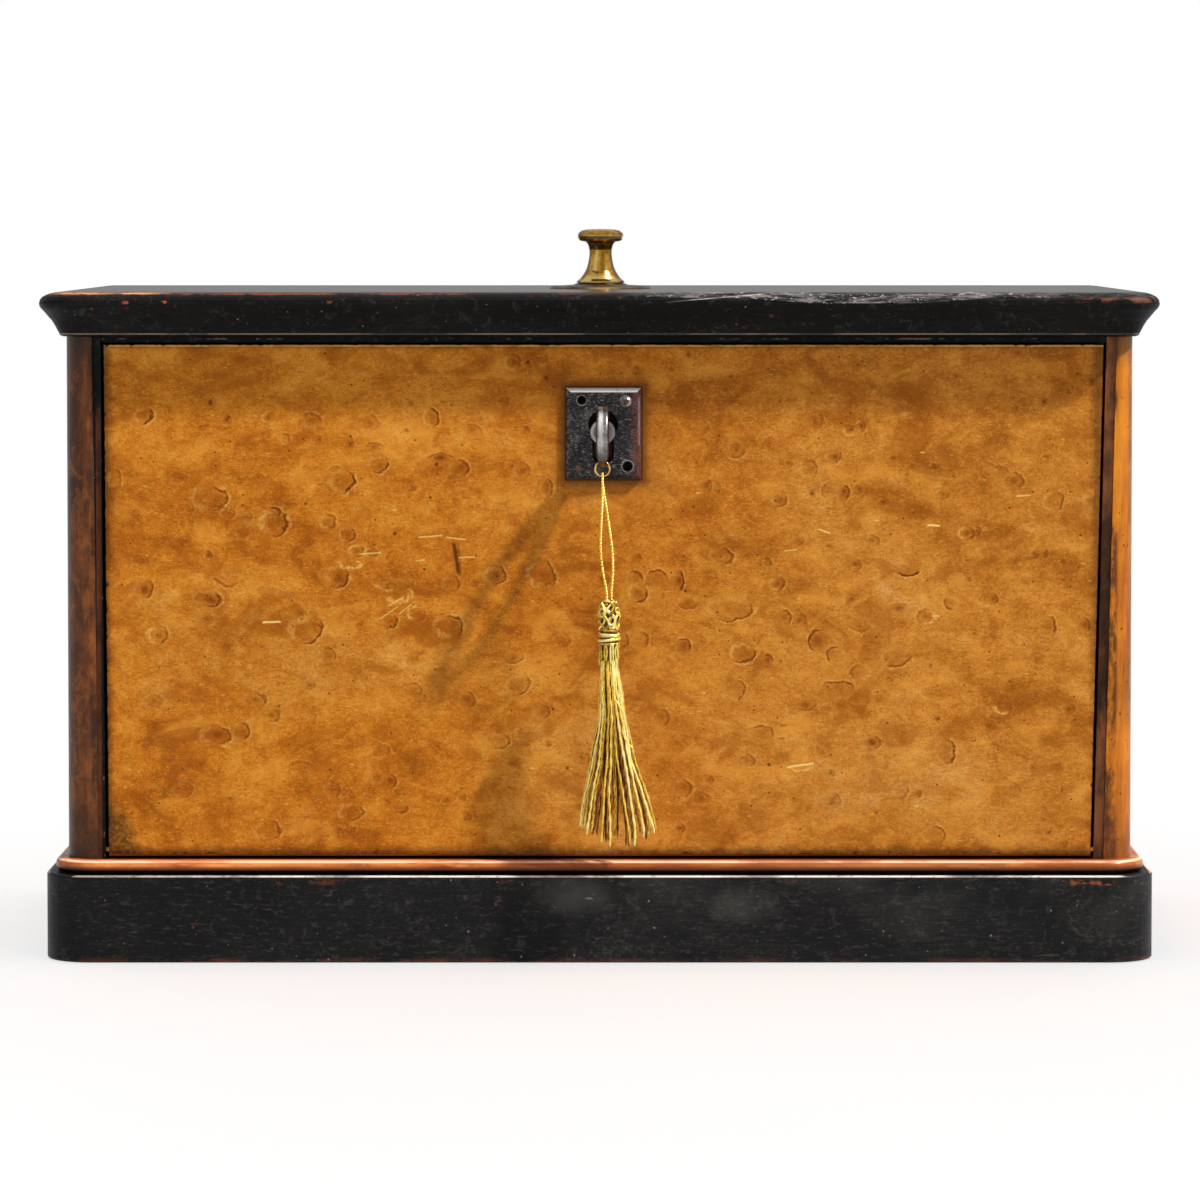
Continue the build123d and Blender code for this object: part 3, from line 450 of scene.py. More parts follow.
# lining paper and baize
m = Mat("paper", rough=0.85, spec=0.15)
fib = m.noise(1500, 3, 0.7)
stain = m.noise(18, 5, 0.65, 0.5)
col = m.ramp(m.add(m.mul(stain, 0.7), m.mul(fib, 0.3)), [(0.35, C(86, 24, 22)), (0.52, C(122, 38, 32)), (0.7, C(142, 58, 46))])
m.set("Base Color", col)
m.bump(fib, 0.0001, 0.5)
give(m.m, "lid_lining", "fall_lining")
m = Mat("baize", rough=0.95, spec=0.1)
m.bs.inputs["Sheen Weight"].default_value = 0.35
fib = m.noise(2200, 3, 0.7)
col = m.ramp(m.add(m.mul(m.noise(30, 4, 0.6), 0.5), m.mul(fib, 0.5)), [(0.3, C(26, 66, 38)), (0.55, C(44, 96, 56)), (0.75, C(62, 116, 72))])
m.set("Base Color", col)
m.bump(fib, 0.0003, 0.8)
give(m.m, "base_baize")


# --- metals ----------------------------------------------------------------
def metal(name, dark, mid, light, rough=(0.2, 0.5), scale=220, spots=None, bump=0.00005, metallic=1.0):
    m = Mat(name, metal=metallic)
    a = m.noise(scale, 5, 0.65, 0.4)
    b = m.noise(scale * 6, 3, 0.6)
    v = m.add(m.mul(a, 0.7), m.mul(b, 0.3))
    col = m.ramp(v, [(0.34, dark), (0.5, mid), (0.66, light)])
    if spots:
        col = m.mix(m.mul(m.step(m.noise(scale * 0.6, 4, 0.7), 0.56, 0.68), 0.8), col, spots)
    m.set("Roughness", m.fmix(m.noise(scale * 1.7, 4, 0.6), rough[0], rough[1]))
    m.bump(b, bump, 0.6)
    return m, col


m, col = metal("knob_brass", C(160, 108, 34), C(218, 164, 66), C(250, 208, 118), rough=(0.10, 0.24), scale=90)
x, y, z = m.xyz()
tarn = m.mul(m.step(m.noise(120, 4, 0.7, 0.5), 0.54, 0.68), 0.65)
col = m.mix(tarn, col, C(112, 70, 20))
# painted shade on the neck below the cap
neck = m.gate(z, 0.2563, 0.2575, 0.0003)
col = m.mix(m.mul(neck, 0.7), col, C(70, 40, 14))
# painted reflection in upright stripes round the stem and on the cap's sides: dark at the sides, a duller and a bright
# painted highlight stripe on the stem; painted highlights on the cap's top and the foot and painted shade under the
# cap's rim
turn = m.math("DIVIDE", x, m.math("MAXIMUM", m.math("SQRT", m.add(m.mul(x, x), m.mul(y, y))), 0.0004))
turn = m.add(turn, m.mul(m.sub(m.noise(420, 3, 0.6), 0.5), 0.30))
dark_side_reflection = m.step(m.math("ABSOLUTE", turn), 0.62, 0.97)
col = m.mix(m.mul(dark_side_reflection, 0.80), col, C(66, 38, 10))
stem = m.gate(z, 0.2470, 0.2580, 0.0008)
col = m.mix(m.mul(m.mul(m.gate(turn, -0.02, 0.34, 0.10), stem), 0.60), col, C(118, 74, 18))
col = m.mix(m.mul(m.mul(m.gate(turn, -0.52, -0.26, 0.08), stem), 0.75), col, C(255, 220, 130))
# painted highlight on the cap's top, painted shade under its rim, painted highlight on the foot
col = m.mix(m.mul(m.gate(z, 0.2600, 0.2612, 0.0003), m.mul(m.step(turn, -0.75, -0.45), 0.75)), col, C(255, 236, 178))
col = m.mix(m.mul(m.gate(z, 0.2585, 0.2593, 0.0003), 0.55), col, C(112, 62, 14))
col = m.mix(m.mul(m.gate(z, 0.2437, 0.2462, 0.0006), m.mul(m.step(dark_side_reflection, 1.0, 0.0), 0.65)), col, C(255, 226, 150))
stain = m.mul(m.gate(m.add(x, m.mul(m.sub(m.noise(500, 3, 0.7), 0.5), 0.0030)), -0.0034, -0.0004, 0.0005), m.gate(m.add(z, m.mul(x, 0.25)), 0.2467, 0.2475, 0.0003))
col = m.mix(m.mul(m.mul(stain, m.step(y, 0.0, -0.001)), 0.85), col, C(46, 30, 12))
foot = m.step(z, 0.2436, 0.2430)
col = m.mix(m.mul(foot, 0.5), col, C(60, 40, 18))
m.set("Base Color", col)
give(m.m, "knob")
m, col = metal("plate_brass", C(40, 32, 28), C(84, 70, 62), C(138, 118, 104), rough=(0.28, 0.5), scale=120, spots=C(40, 32, 26))
x, y, z = m.xyz()
# painted highlight along the plate's lower rim, brightest near the middle
rim = m.mul(m.step(z, 0.24205, 0.24180), m.step(m.noise(140, 3, 0.6), 0.35, 0.50, 0.4, 1.0))
col = m.mix(m.mul(rim, 0.35), col, C(200, 160, 110))
col = m.mix(m.mul(m.mul(rim, m.step(m.math("ABSOLUTE", m.sub(x, 0.001)), 0.0085, 0.001)), 0.9), col, C(255, 226, 160))
m.set("Base Color", col)
give(m.m, "knob_backplate")
m, col = metal("aged_brass", C(62, 42, 18), C(112, 80, 36), C(160, 120, 62), rough=(0.3, 0.55), scale=120, spots=C(48, 34, 18))
m.set("Base Color", col)
give(m.m, "lid_hinge_leaf_fixed_left", "lid_hinge_leaf_fixed_right", "lid_hinge_leaf_moving_left",
     "lid_hinge_leaf_moving_right")
m, col = metal("lock_brass", C(120, 84, 36), C(170, 128, 60), C(202, 164, 92), rough=(0.28, 0.5), scale=110)
m.set("Base Color", col)
give(m.m, "lock_plate", "lock_cap", "fall_pivot_pins", "fall_pivot_sockets")
m, col = metal("bright_steel", C(96, 92, 88), C(142, 138, 132), C(176, 172, 166), rough=(0.25, 0.45), scale=150, spots=C(84, 66, 52))
m.set("Base Color", col)
give(m.m, "lid_hinge_pins", "lid_hinge_screws_fixed", "lid_hinge_screws_moving", "keep_plate_screws", "knob_stud",
     "knob_washer", "knob_nut", "lock_screws", "lock_spring", "lock_bolt")
m, col = metal("ring_gold", C(176, 128, 52), C(224, 182, 98), C(250, 226, 158), rough=(0.15, 0.3), scale=300)
m.set("Base Color", col)
give(m.m, "key_ring")

# key: dull grey steel, browner on the bow's sides, with a painted highlight left of the bow's middle and painted shade
# at its edges and lower part
m, col = metal("key_steel", C(98, 94, 93), C(152, 149, 147), C(208, 205, 202), rough=(0.24, 0.42), scale=260)
x, y, z = m.xyz()
off = m.math("ABSOLUTE", m.sub(x, 0.0012))
bow = m.step(y, -0.1000, -0.1008)
wave = m.mul(m.sub(m.noise(300, 3, 0.6), 0.5), 0.0009)
across = m.add(m.sub(x, 0.0012), wave)
# painted highlight left of the bow's middle, stronger upwards
col = m.mix(m.mul(m.mul(m.gate(across, -0.0013, 0.0001, 0.0003), m.step(z, 0.1850, 0.1960, 0.15, 0.90)), bow), col, C(244, 243, 240))
col = m.mix(m.mul(m.mul(m.gate(across, 0.0007, 0.0011, 0.0002), m.step(z, 0.2000, 0.1940)), m.mul(bow, 0.55)), col, C(112, 78, 52))
# painted shade at the bow's edges
col = m.mix(m.mul(m.mul(m.step(m.math("ABSOLUTE", across), 0.0014, 0.0020), 0.80), bow), col, C(48, 46, 46))
# painted shade on the bow's lower part
col = m.mix(m.mul(m.mul(m.step(z, 0.1930, 0.1800), 0.80), bow), col, C(54, 53, 54))
col = m.mix(m.mul(m.step(m.noise(520, 4, 0.7), 0.57, 0.66), 0.45), col, C(84, 74, 68))
# the shank's round end: dark face, painted highlight on its rim, stronger at the left
face_ = m.step(off, 0.00212, 0.00232)
wheel = m.math("SQRT", m.add(m.math("POWER", m.sub(x, 0.0012), 2.0), m.math("POWER", m.sub(z, 0.191), 2.0)))
col = m.mix(m.mul(face_, 0.62), col, C(60, 57, 56))
col = m.mix(m.mul(m.mul(face_, m.gate(wheel, 0.0034, 0.0043, 0.0003)), m.step(m.add(x, m.mul(wave, 3.0)), 0.0045, -0.0010, 0.25, 0.85)), col, C(196, 192, 188))
m.set("Base Color", col)
give(m.m, "key")

# key plate: blackened iron, painted highlights on the top bevel, the right edge and round the holes and the pin, rust
# at the right
EX, EZ = 0.00155, 0.1905
m = Mat("iron_plate", metal=0.55, spec=0.5)
x, y, z = m.xyz()
big = m.noise(160, 5, 0.65, 0.6)
fine = m.noise(900, 4, 0.65)
col = m.ramp(m.add(m.mul(big, 0.6), m.mul(fine, 0.4)), [(0.42, C(14, 12, 13)), (0.52, C(34, 31, 32)), (0.62, C(84, 80, 80))])
scr = m.noise(1.0, 3, 0.7, vec=m.place((700, 700, 2400), rot=(0, 38, 0)))
col = m.mix(m.mul(m.step(scr, 0.58, 0.68), 0.60), col, C(160, 156, 154))
scr3 = m.noise(1.0, 3, 0.7, vec=m.place((700, 700, 2400), rot=(0, -52, 0)))
col = m.mix(m.mul(m.step(scr3, 0.60, 0.70), 0.50), col, C(140, 134, 130))
scr2 = m.noise(1.0, 3, 0.7, vec=m.place((700, 700, 220), rot=(0, -12, 0)))
col = m.mix(m.mul(m.step(scr2, 0.60, 0.68), 0.55), col, C(12, 10, 11))
# painted highlight on the plate's right edge
right_edge_highlight = m.mul(m.gate(x, EX + 0.01235, EX + 0.01310, 0.00015), m.gate(z, EZ - 0.004, EZ + 0.013, 0.001))
col = m.mix(m.mul(right_edge_highlight, 0.55), col, C(170, 168, 170))
rim_l = m.mul(m.step(x, EX - 0.01235, EX - 0.01270), m.step(fine, 0.45, 0.6))
col = m.mix(m.mul(rim_l, 0.5), col, C(120, 118, 120))
rust = m.mul(m.step(m.add(x, m.mul(m.sub(m.noise(300, 4, 0.7), 0.5), 0.008)), EX + 0.0085, EX + 0.0125), m.step(m.noise(420, 3, 0.6), 0.35, 0.6, 0.35, 1.0))
col = m.mix(m.mul(rust, 0.75), col, C(112, 58, 46))
# painted highlight on the top bevel
top_bevel_highlight = m.gate(z, EZ + 0.01475, EZ + 0.01632, 0.00012)
top_bevel_highlight = m.mul(top_bevel_highlight, m.step(m.sub(m.math("ABSOLUTE", m.sub(x, EX)), m.sub(z, EZ + 0.01630)), 0.0136, 0.0133))
col = m.mix(m.mul(top_bevel_highlight, m.step(m.noise(300, 4, 0.7), 0.3, 0.5, 0.55, 0.98)), col, C(222, 220, 216))
ring_ul = m.math("SQRT", m.add(m.math("POWER", m.sub(x, EX - 0.0079), 2.0), m.math("POWER", m.sub(z, EZ + 0.0119), 2.0)))
ring_lr = m.math("SQRT", m.add(m.math("POWER", m.sub(x, EX + 0.0086), 2.0), m.math("POWER", m.sub(z, EZ - 0.0119), 2.0)))
ring_ur = m.math("SQRT", m.add(m.math("POWER", m.sub(x, EX + 0.0079), 2.0), m.math("POWER", m.sub(z, EZ + 0.0115), 2.0)))
col = m.mix(m.mul(m.math("MAXIMUM", m.step(ring_ul, 0.00180, 0.00160), m.step(ring_lr, 0.00205, 0.00185)), 0.9), col, C(20, 10, 8))
# painted highlight rings round the holes and the pin
hole_rim_highlight = m.math("MAXIMUM", m.math("MAXIMUM", m.gate(ring_ul, 0.00175, 0.00198, 0.0001), m.gate(ring_lr, 0.00200, 0.00225, 0.0001)), m.gate(ring_ur, 0.00178, 0.00215, 0.00012))
col = m.mix(m.mul(hole_rim_highlight, m.step(m.noise(700, 3, 0.7), 0.40, 0.56, 0.12, 0.60)), col, C(186, 174, 164))
m.set("Base Color", col)
m.set("Roughness", m.fmix(m.noise(420, 4, 0.6), 0.24, 0.58))
m.bump(m.add(m.mul(big, 0.8), m.mul(fine, 0.2)), 0.00045, 0.8)
give(m.m, "escutcheon_plate")
m, col = metal("pin_dark", C(120, 108, 106), C(172, 162, 160), C(216, 208, 204), rough=(0.22, 0.38), scale=300, metallic=0.8)
x, y, z = m.xyz()
mid_ = m.math("SQRT", m.add(m.math("POWER", m.sub(x, EX + 0.0079), 2.0), m.math("POWER", m.sub(z, EZ + 0.0112), 2.0)))
col = m.mix(m.mul(m.step(m.add(mid_, m.mul(m.sub(m.noise(900, 3, 0.6), 0.5), 0.0010)), 0.0015, 0.0009), 0.85), col, C(52, 26, 18))
m.set("Base Color", col)
give(m.m, "escutcheon_pin_round")
m, col = metal("pin_rust", C(52, 32, 24), C(92, 58, 42), C(124, 84, 62), rough=(0.5, 0.75), scale=400, metallic=0.3)
m.set("Base Color", col)
give(m.m, "escutcheon_pin_flush")


# --- mesh helpers ----------------------------------------------------------
def mesh_object(name, verts, faces, material, smooth=True):
    me = bpy.data.meshes.new(name)
    me.from_pydata([tuple(v) for v in verts], [], faces)
    me.update()
    if smooth:
        me.polygons.foreach_set("use_smooth", [True] * len(me.polygons))
    o = bpy.data.objects.new(name, me)
    scene.collection.objects.link(o)
    me.materials.append(material)
    return o


def frames(pts, up=(0.0, 1.0, 0.0)):
    """Steady side vectors along a polyline."""
    p = np.asarray(pts, float)
    t = np.gradient(p, axis=0)
    t /= np.linalg.norm(t, axis=1)[:, None] + 1e-12
    u = np.zeros_like(p)
    a = np.cross(t[0], up)
    if np.linalg.norm(a) < 1e-3:
        a = np.cross(t[0], (1.0, 0.0, 0.0))
    u[0] = a / np.linalg.norm(a)
    for i in range(1, len(p)):
        a = u[i - 1] - t[i] * np.dot(u[i - 1], t[i])
        u[i] = a / (np.linalg.norm(a) + 1e-12)
    return p, t, u, np.cross(t, u)


class Tubes:
    """Many tubes in one mesh."""

    def __init__(self):
        self.v, self.f, self.t = [], [], []

    def add(self, pts, ra, rb=None, sides=6, twist=0.0, caps=True, taper=0, tone=0.5, section_shade=0.0):
        """A tube of oval section ra by rb that turns by twist radians in all along pts."""
        p, t, u, w = frames(pts)
        rb = ra if rb is None else rb
        n = len(p)
        base = sum(len(a) for a in self.v)
        ring = np.zeros((n, sides, 3))
        for i in range(n):
            th = twist * i / (n - 1)
            k = 1.0
            if taper and i >= n - taper:
                k = 1.0 - 0.65 * (i - (n - taper) + 1) / taper
            for j in range(sides):
                a = 2 * math.pi * j / sides
                ca, sa = ra * math.cos(a) * k, rb * math.sin(a) * k
                c, s = math.cos(th), math.sin(th)
                ring[i, j] = p[i] + u[i] * (ca * c - sa * s) + w[i] * (ca * s + sa * c)
        self.v.append(ring.reshape(-1, 3))
        # painted shade round each thread's section: the tone turns lighter and darker with the angle
        wave = np.cos(2 * 2 * np.pi * np.arange(sides) / sides)
        self.t.append(np.tile(tone + section_shade * wave, n))
        for i in range(n - 1):
            for j in range(sides):
                a, b = base + i * sides + j, base + i * sides + (j + 1) % sides
                self.f.append((a, b, b + sides, a + sides))
        if caps:
            self.f.append(tuple(base + j for j in reversed(range(sides))))
            self.f.append(tuple(base + (n - 1) * sides + j for j in range(sides)))

    def closed(self, pts, r, sides=6, tone=0.5):
        """A closed ring tube."""
        p = np.asarray(pts, float)
        n = len(p)
        self.t.append(np.full(n * sides, tone))
        base = sum(len(a) for a in self.v)
        t = np.roll(p, -1, 0) - np.roll(p, 1, 0)
        t /= np.linalg.norm(t, axis=1)[:, None]
        c = p.mean(0)
        ring = np.zeros((n, sides, 3))
        for i in range(n):
            o = p[i] - c
            o -= t[i] * np.dot(o, t[i])
            o /= np.linalg.norm(o)
            w = np.cross(t[i], o)
            for j in range(sides):
                a = 2 * math.pi * j / sides
                ring[i, j] = p[i] + o * r * math.cos(a) + w * r * math.sin(a)
        self.v.append(ring.reshape(-1, 3))
        for i in range(n):
            for j in range(sides):
                a, b = base + i * sides + j, base + i * sides + (j + 1) % sides
                a2, b2 = base + ((i + 1) % n) * sides + j, base + ((i + 1) % n) * sides + (j + 1) % sides
                self.f.append((a, b, b2, a2))

    def make(self, name, material):
        o = mesh_object(name, np.vstack(self.v), self.f, material)
        at = o.data.attributes.new("tone", "FLOAT", "POINT")
        at.data.foreach_set("value", np.concatenate(self.t).astype(np.float32))
        return o


# --- gold thread -----------------------------------------------------------
def thread(name, stops, pitch=1400, toned=True):
    m = Mat(name, metal=0.70, spec=0.5)
    m.bs.inputs["Sheen Weight"].default_value = 0.1
    a = m.noise(240, 4, 0.7)
    b = m.noise(pitch, 3, 0.65)
    v = m.add(m.mul(m.sub(a, 0.5), 0.8), m.mul(m.sub(b, 0.5), 0.7))
    v = m.add(v, m.attr("tone", "Fac") if toned else 0.5)
    col = m.ramp(v, stops)
    m.set("Base Color", col)
    m.set("Roughness", m.fmix(b, 0.26, 0.50))
    m.bump(b, 0.0002, 0.8)
    return m.m


gold = thread("gold_thread", [(0.05, C(82, 34, 8)), (0.28, C(150, 88, 16)), (0.50, C(222, 168, 40)), (0.72, C(250, 218, 92)), (0.95, C(255, 246, 176))])
gold_head = thread("gold_braid", [(0.05, C(82, 46, 8)), (0.30, C(158, 112, 24)), (0.52, C(208, 170, 52)), (0.75, C(236, 212, 98)), (0.98, C(252, 240, 168))])
# the core's thread colour is dark: painted shade between the threads
core_shade_mat = thread("thread_core_shade", [(0.2, C(50, 22, 5)), (0.5, C(92, 50, 12)), (0.8, C(146, 92, 30))], toned=False)

# --- tassel cord: two strands twisted on the route of the CAD tube ----------
MM = 0.001
ROUTE = [(2.75, -106.75, 131.4), (2.75, -106.75, 134.9), (1.35, -106.6, 140.8), (0.35, -106.9, 149.2),
         (0.65, -107.2, 157.8), (1.15, -107.1, 165.8), (1.2, -106.955, 172.9),
         (1.2, -106.955, 176.83), (1.2, -105.045, 176.83), (1.2, -105.045, 172.9),
         (2.4, -105.0, 165.6), (3.55, -105.2, 157.6), (4.75, -105.3, 149.2), (5.0, -105.4, 141.4),
         (4.3, -105.35, 134.9), (4.3, -105.35, 131.4)]
CORD_D = 0.95 * MM
cu = bpy.data.curves.new("cord_route", "CURVE")
cu.dimensions = "3D"
sp = cu.splines.new("NURBS")
sp.points.add(len(ROUTE) - 1)
for p, q in zip(sp.points, ROUTE):
    p.co = (q[0] * MM, q[1] * MM, q[2] * MM, 1.0)
sp.order_u = 3
sp.use_endpoint_u = True
sp.resolution_u = 24
tmp = bpy.data.objects.new("cord_route", cu)
scene.collection.objects.link(tmp)
bpy.context.view_layer.update()
pm = bpy.data.meshes.new_from_object(tmp)
path = np.array([v.co[:] for v in pm.vertices])
bpy.data.objects.remove(tmp)
bpy.data.meshes.remove(pm)
step = np.linalg.norm(np.diff(path, axis=0), axis=1)
arc = np.concatenate([[0], np.cumsum(step)])
CORD_LEN = float(arc[-1])
s = np.arange(0, CORD_LEN, 0.00018)
line = np.stack([np.interp(s, arc, path[:, k]) for k in range(3)], 1)
p, t, u, w = frames(line)
tb = Tubes()
PITCH = 0.0023
for k in (0, 1):
    a = 2 * math.pi * s / PITCH + math.pi * k
    off = (u * np.cos(a)[:, None] + w * np.sin(a)[:, None]) * (CORD_D * 0.235)
    tb.add(p + off, CORD_D * 0.262, sides=7, tone=0.62 + 0.16 * k)
cord = tb.make("tassel_cord_strands", gold)
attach(cord, "tassel")
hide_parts("tassel_cord")

# --- tassel head: braided knot, wraps, basket neck --------------------------
AX, AY = 3.5 * MM, -106.0 * MM


def smooth(a, b, v):
    k = min(1.0, max(0.0, (v - a) / (b - a)))
    return k * k * (3 - 2 * k)


def head_r(z):
    """Radius of the head at height z, mm."""
    pts = [(107.3, 3.15), (110.5, 3.2), (113.5, 3.15), (115.8, 3.45), (119.6, 3.5), (120.8, 2.9), (123.0, 3.15),
           (126.0, 3.3), (129.0, 3.1), (130.6, 2.3), (131.4, 1.5)]
    return float(np.interp(z, [q[0] for q in pts], [q[1] for q in pts]))


tb = Tubes()
hr = random.Random(31)
# knot: thick strands laid over the dome both ways, uneven, each over and under the others
for way, n, turns in ((1, 9, 0.26), (-1, 6, 0.38)):
    for k in range(n):
        pts = []
        m_ = 36
        th0, z_lo, z_hi = 2 * math.pi * (k + hr.uniform(-0.2, 0.2)) / n, 120.9 + hr.uniform(-0.5, 0.5), 131.0 + hr.uniform(-0.9, 0.2)
        ph, tn = hr.uniform(0, 6.28), hr.uniform(0.30, 0.95)
        for i in range(m_):
            f = i / (m_ - 1)
            z = z_lo + (z_hi - z_lo) * f
            th = th0 + way * 2 * math.pi * turns * f + 0.22 * math.sin(7 * f + ph)
            r = head_r(z) + 0.10 + 0.34 * way * math.cos(11 * f + ph)
            pts.append(((3.5 + r * math.cos(th)) * MM, (-106.0 + r * math.sin(th)) * MM, z * MM))
        tb.add(pts, 0.64 * MM, 0.44 * MM, sides=7, twist=5.0, tone=tn, section_shade=0.10)
# small loops on the knot's front and sides
for a0, zc, rr, tilt, tn in ((-2.3, 127.2, 1.25, 0.5, 0.85), (-1.3, 124.3, 1.15, -0.4, 0.9), (-0.5, 127.6, 1.1, 0.9, 0.65),
                             (0.7, 125.0, 1.2, 0.2, 0.6), (1.9, 126.4, 1.25, -0.7, 0.75), (3.0, 124.6, 1.1, 0.4, 0.55)):
    pts = []
    for i in range(28):
        b_ = 2 * math.pi * i / 28
        du, dv = rr * math.cos(b_), rr * 1.25 * math.sin(b_)
        du, dv = du * math.cos(tilt) - dv * math.sin(tilt), du * math.sin(tilt) + dv * math.cos(tilt)
        z = zc + dv
        r = head_r(z) + 0.42 + 0.10 * math.cos(2 * b_)
        th = a0 + du / r
        pts.append(((3.5 + r * math.cos(th)) * MM, (-106.0 + r * math.sin(th)) * MM, z * MM))
    tb.closed(pts, 0.36 * MM, sides=7, tone=tn)
# band of uneven wraps
for k, (z, rt, tn) in enumerate(((116.3, 0.44, 0.45), (117.3, 0.56, 0.88), (118.55, 0.50, 0.62), (119.5, 0.46, 0.95))):
    pts = []
    for i in range(44):
        th = 2 * math.pi * i / 44
        r = 3.52 + 0.16 * math.sin(2 * th + 1.3 * k) + 0.10 * math.cos(5 * th + 2 * k)
        pts.append(((3.5 + r * math.cos(th)) * MM, (-106.0 + r * math.sin(th)) * MM,
                    (z + 0.34 * math.sin(th + 1.9 * k)) * MM))
    tb.closed(pts, rt * MM, sides=8, tone=tn)
# neck: long upright loops hanging from the band
for k in range(10):
    th0, half, zb, tn = 2 * math.pi * (k + hr.uniform(-0.15, 0.15)) / 10, hr.uniform(0.13, 0.22), 108.2 + hr.uniform(-1.0, 2.6), hr.uniform(0.40, 0.98)
    zt = 116.0 + hr.uniform(-0.6, 0.4)
    pts = []
    for i in range(40):
        b_ = 2 * math.pi * i / 40
        z = (zt + zb) / 2 + (zt - zb) / 2 * math.cos(b_) * (1.0 + 0.06 * math.sin(3 * b_ + k))
        th = th0 + half * math.sin(b_) * (1.0 + 0.25 * math.sin(2 * b_ + k))
        r = head_r(z) + 0.12 + 0.16 * math.sin(3 * b_ + 1.7 * k)
        pts.append(((3.5 + r * math.cos(th)) * MM, (-106.0 + r * math.sin(th)) * MM, z * MM))
    tb.closed(pts, 0.37 * MM, sides=7, tone=tn)
for z, r, tn in ((120.7, 2.95, 0.35), (131.0, 1.75, 0.9)):
    pts = [((3.5 + r * math.cos(a)) * MM, (-106.0 + r * math.sin(a)) * MM, (z + 0.25 * math.sin(a * 2)) * MM)
           for a in [2 * math.pi * i / 36 for i in range(36)]]
    tb.closed(pts, 0.46 * MM, sides=7, tone=tn)
head = tb.make("tassel_head_braid", gold_head)
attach(head, "tassel")
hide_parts("tassel_head")

# dark core of the head and of the skirt's top: painted shade that shows between the threads
prof = [(131.0, 0.3), (130.6, 1.7), (129.0, 2.7), (126.0, 2.95), (123.0, 2.8), (120.8, 2.6), (119.6, 3.2), (116.0, 3.2),
        (114.0, 2.8), (107.3, 2.8), (104.0, 2.7), (98.0, 2.6), (90.0, 2.3), (80.0, 1.9), (72.0, 1.2), (66.0, 0.4)]
vs, fs = [], []
SD = 20
for z, r in prof:
    for j in range(SD):
        a = 2 * math.pi * j / SD
        vs.append(((3.5 + r * math.cos(a)) * MM, (-106.0 + r * math.sin(a)) * MM, z * MM))
for i in range(len(prof) - 1):
    for j in range(SD):
        a, b = i * SD + j, i * SD + (j + 1) % SD
        fs.append((a, a + SD, b + SD, b))
fs.append(tuple(range(SD)))
fs.append(tuple((len(prof) - 1) * SD + j for j in reversed(range(SD))))
core = mesh_object("tassel_core", vs, fs, core_shade_mat)
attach(core, "tassel")

# --- skirt: loose twisted threads -------------------------------------------
SECS = [(110.5, 3.5, 2.9, 2.9), (107.3, 3.5, 3.2, 3.1), (91.3, 4.4, 5.3, 4.6), (73.2, 5.2, 8.9, 6.4), (58.6, 5.9, 13.4, 8.4),
        (50.0, 6.2, 15.9, 9.4), (43.6, 6.2, 16.4, 10.0)]


def sec(z):
    zs = [q[0] for q in SECS][::-1]
    return [float(np.interp(z, zs, [q[k] for q in SECS][::-1])) for k in (1, 2, 3)]


def end_z(ex):
    """Height of the ends across the skirt, mm: left group shorter, then the centre, then the right."""
    return float(np.interp(ex, [-1, -0.72, -0.5, -0.2, 0.35, 0.6, 0.8, 1.0],
                           [50.5, 49.0, 47.0, 44.2, 44.2, 46.2, 46.4, 49.5]))


tb = Tubes()
for layer, count, rr in ((0, 27, 1.0), (1, 20, 0.70), (2, 10, 0.38)):
    for k in range(count):
        th = 2 * math.pi * (k + 0.5 * layer + rng.uniform(-0.38, 0.38)) / count
        rad = rr * rng.uniform(0.84, 1.0)
        ez = end_z(rad * math.cos(th)) + rng.uniform(-0.6, 2.6)
        ph = [rng.uniform(0, 6.28) for _ in range(4)]
        amp = rng.uniform(0.4, 1.0)
        drift = rng.uniform(-0.30, 0.30)
        wide = rng.uniform(0.40, 0.56)
        # inner layers are toned darker: painted shade inside the skirt
        tn = (0.66, 0.30, 0.12)[layer] + rng.uniform(-0.16, 0.22)
        pts = []
        m_ = 104
        for i in range(m_):
            f = i / (m_ - 1)
            z = 110.2 + (ez - 110.2) * f
            cx, rx, ry = sec(z)
            a = th + drift * f
            wob = amp * smooth(0.0, 0.35, f)
            k2 = rad + (0.0 if layer == 0 else 0.10 * smooth(0.0, 0.1, 0.1 - f))
            xx = cx + k2 * rx * math.cos(a) + wob * (0.6 * math.sin(7.0 * f + ph[0]) + 0.16 * math.sin(21 * f + ph[1]))
            yy = -106.0 + k2 * ry * math.sin(a) + wob * (0.5 * math.sin(6.0 * f + ph[2]) + 0.14 * math.sin(19 * f + ph[3]))
            pts.append((xx * MM, yy * MM, z * MM))
        tb.add(pts, wide * MM, 0.36 * MM, sides=7, twist=2 * math.pi * (110.2 - ez) / rng.uniform(6.0, 14.0), taper=2, tone=tn, section_shade=0.10)
# one stray thread at the right
pts = [((6.0 + 5.6 * f + 1.2 * math.sin(7 * f)) * MM, (-113.0 - 0.8 * f) * MM, (96.0 - 17.5 * f) * MM) for f in np.linspace(0, 1, 40)]
tb.add(pts, 0.42 * MM, 0.26 * MM, sides=6, twist=20.0, taper=2, tone=0.7, section_shade=0.1)
skirt = tb.make("tassel_skirt_threads", gold)
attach(skirt, "tassel")
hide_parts("tassel_skirt")

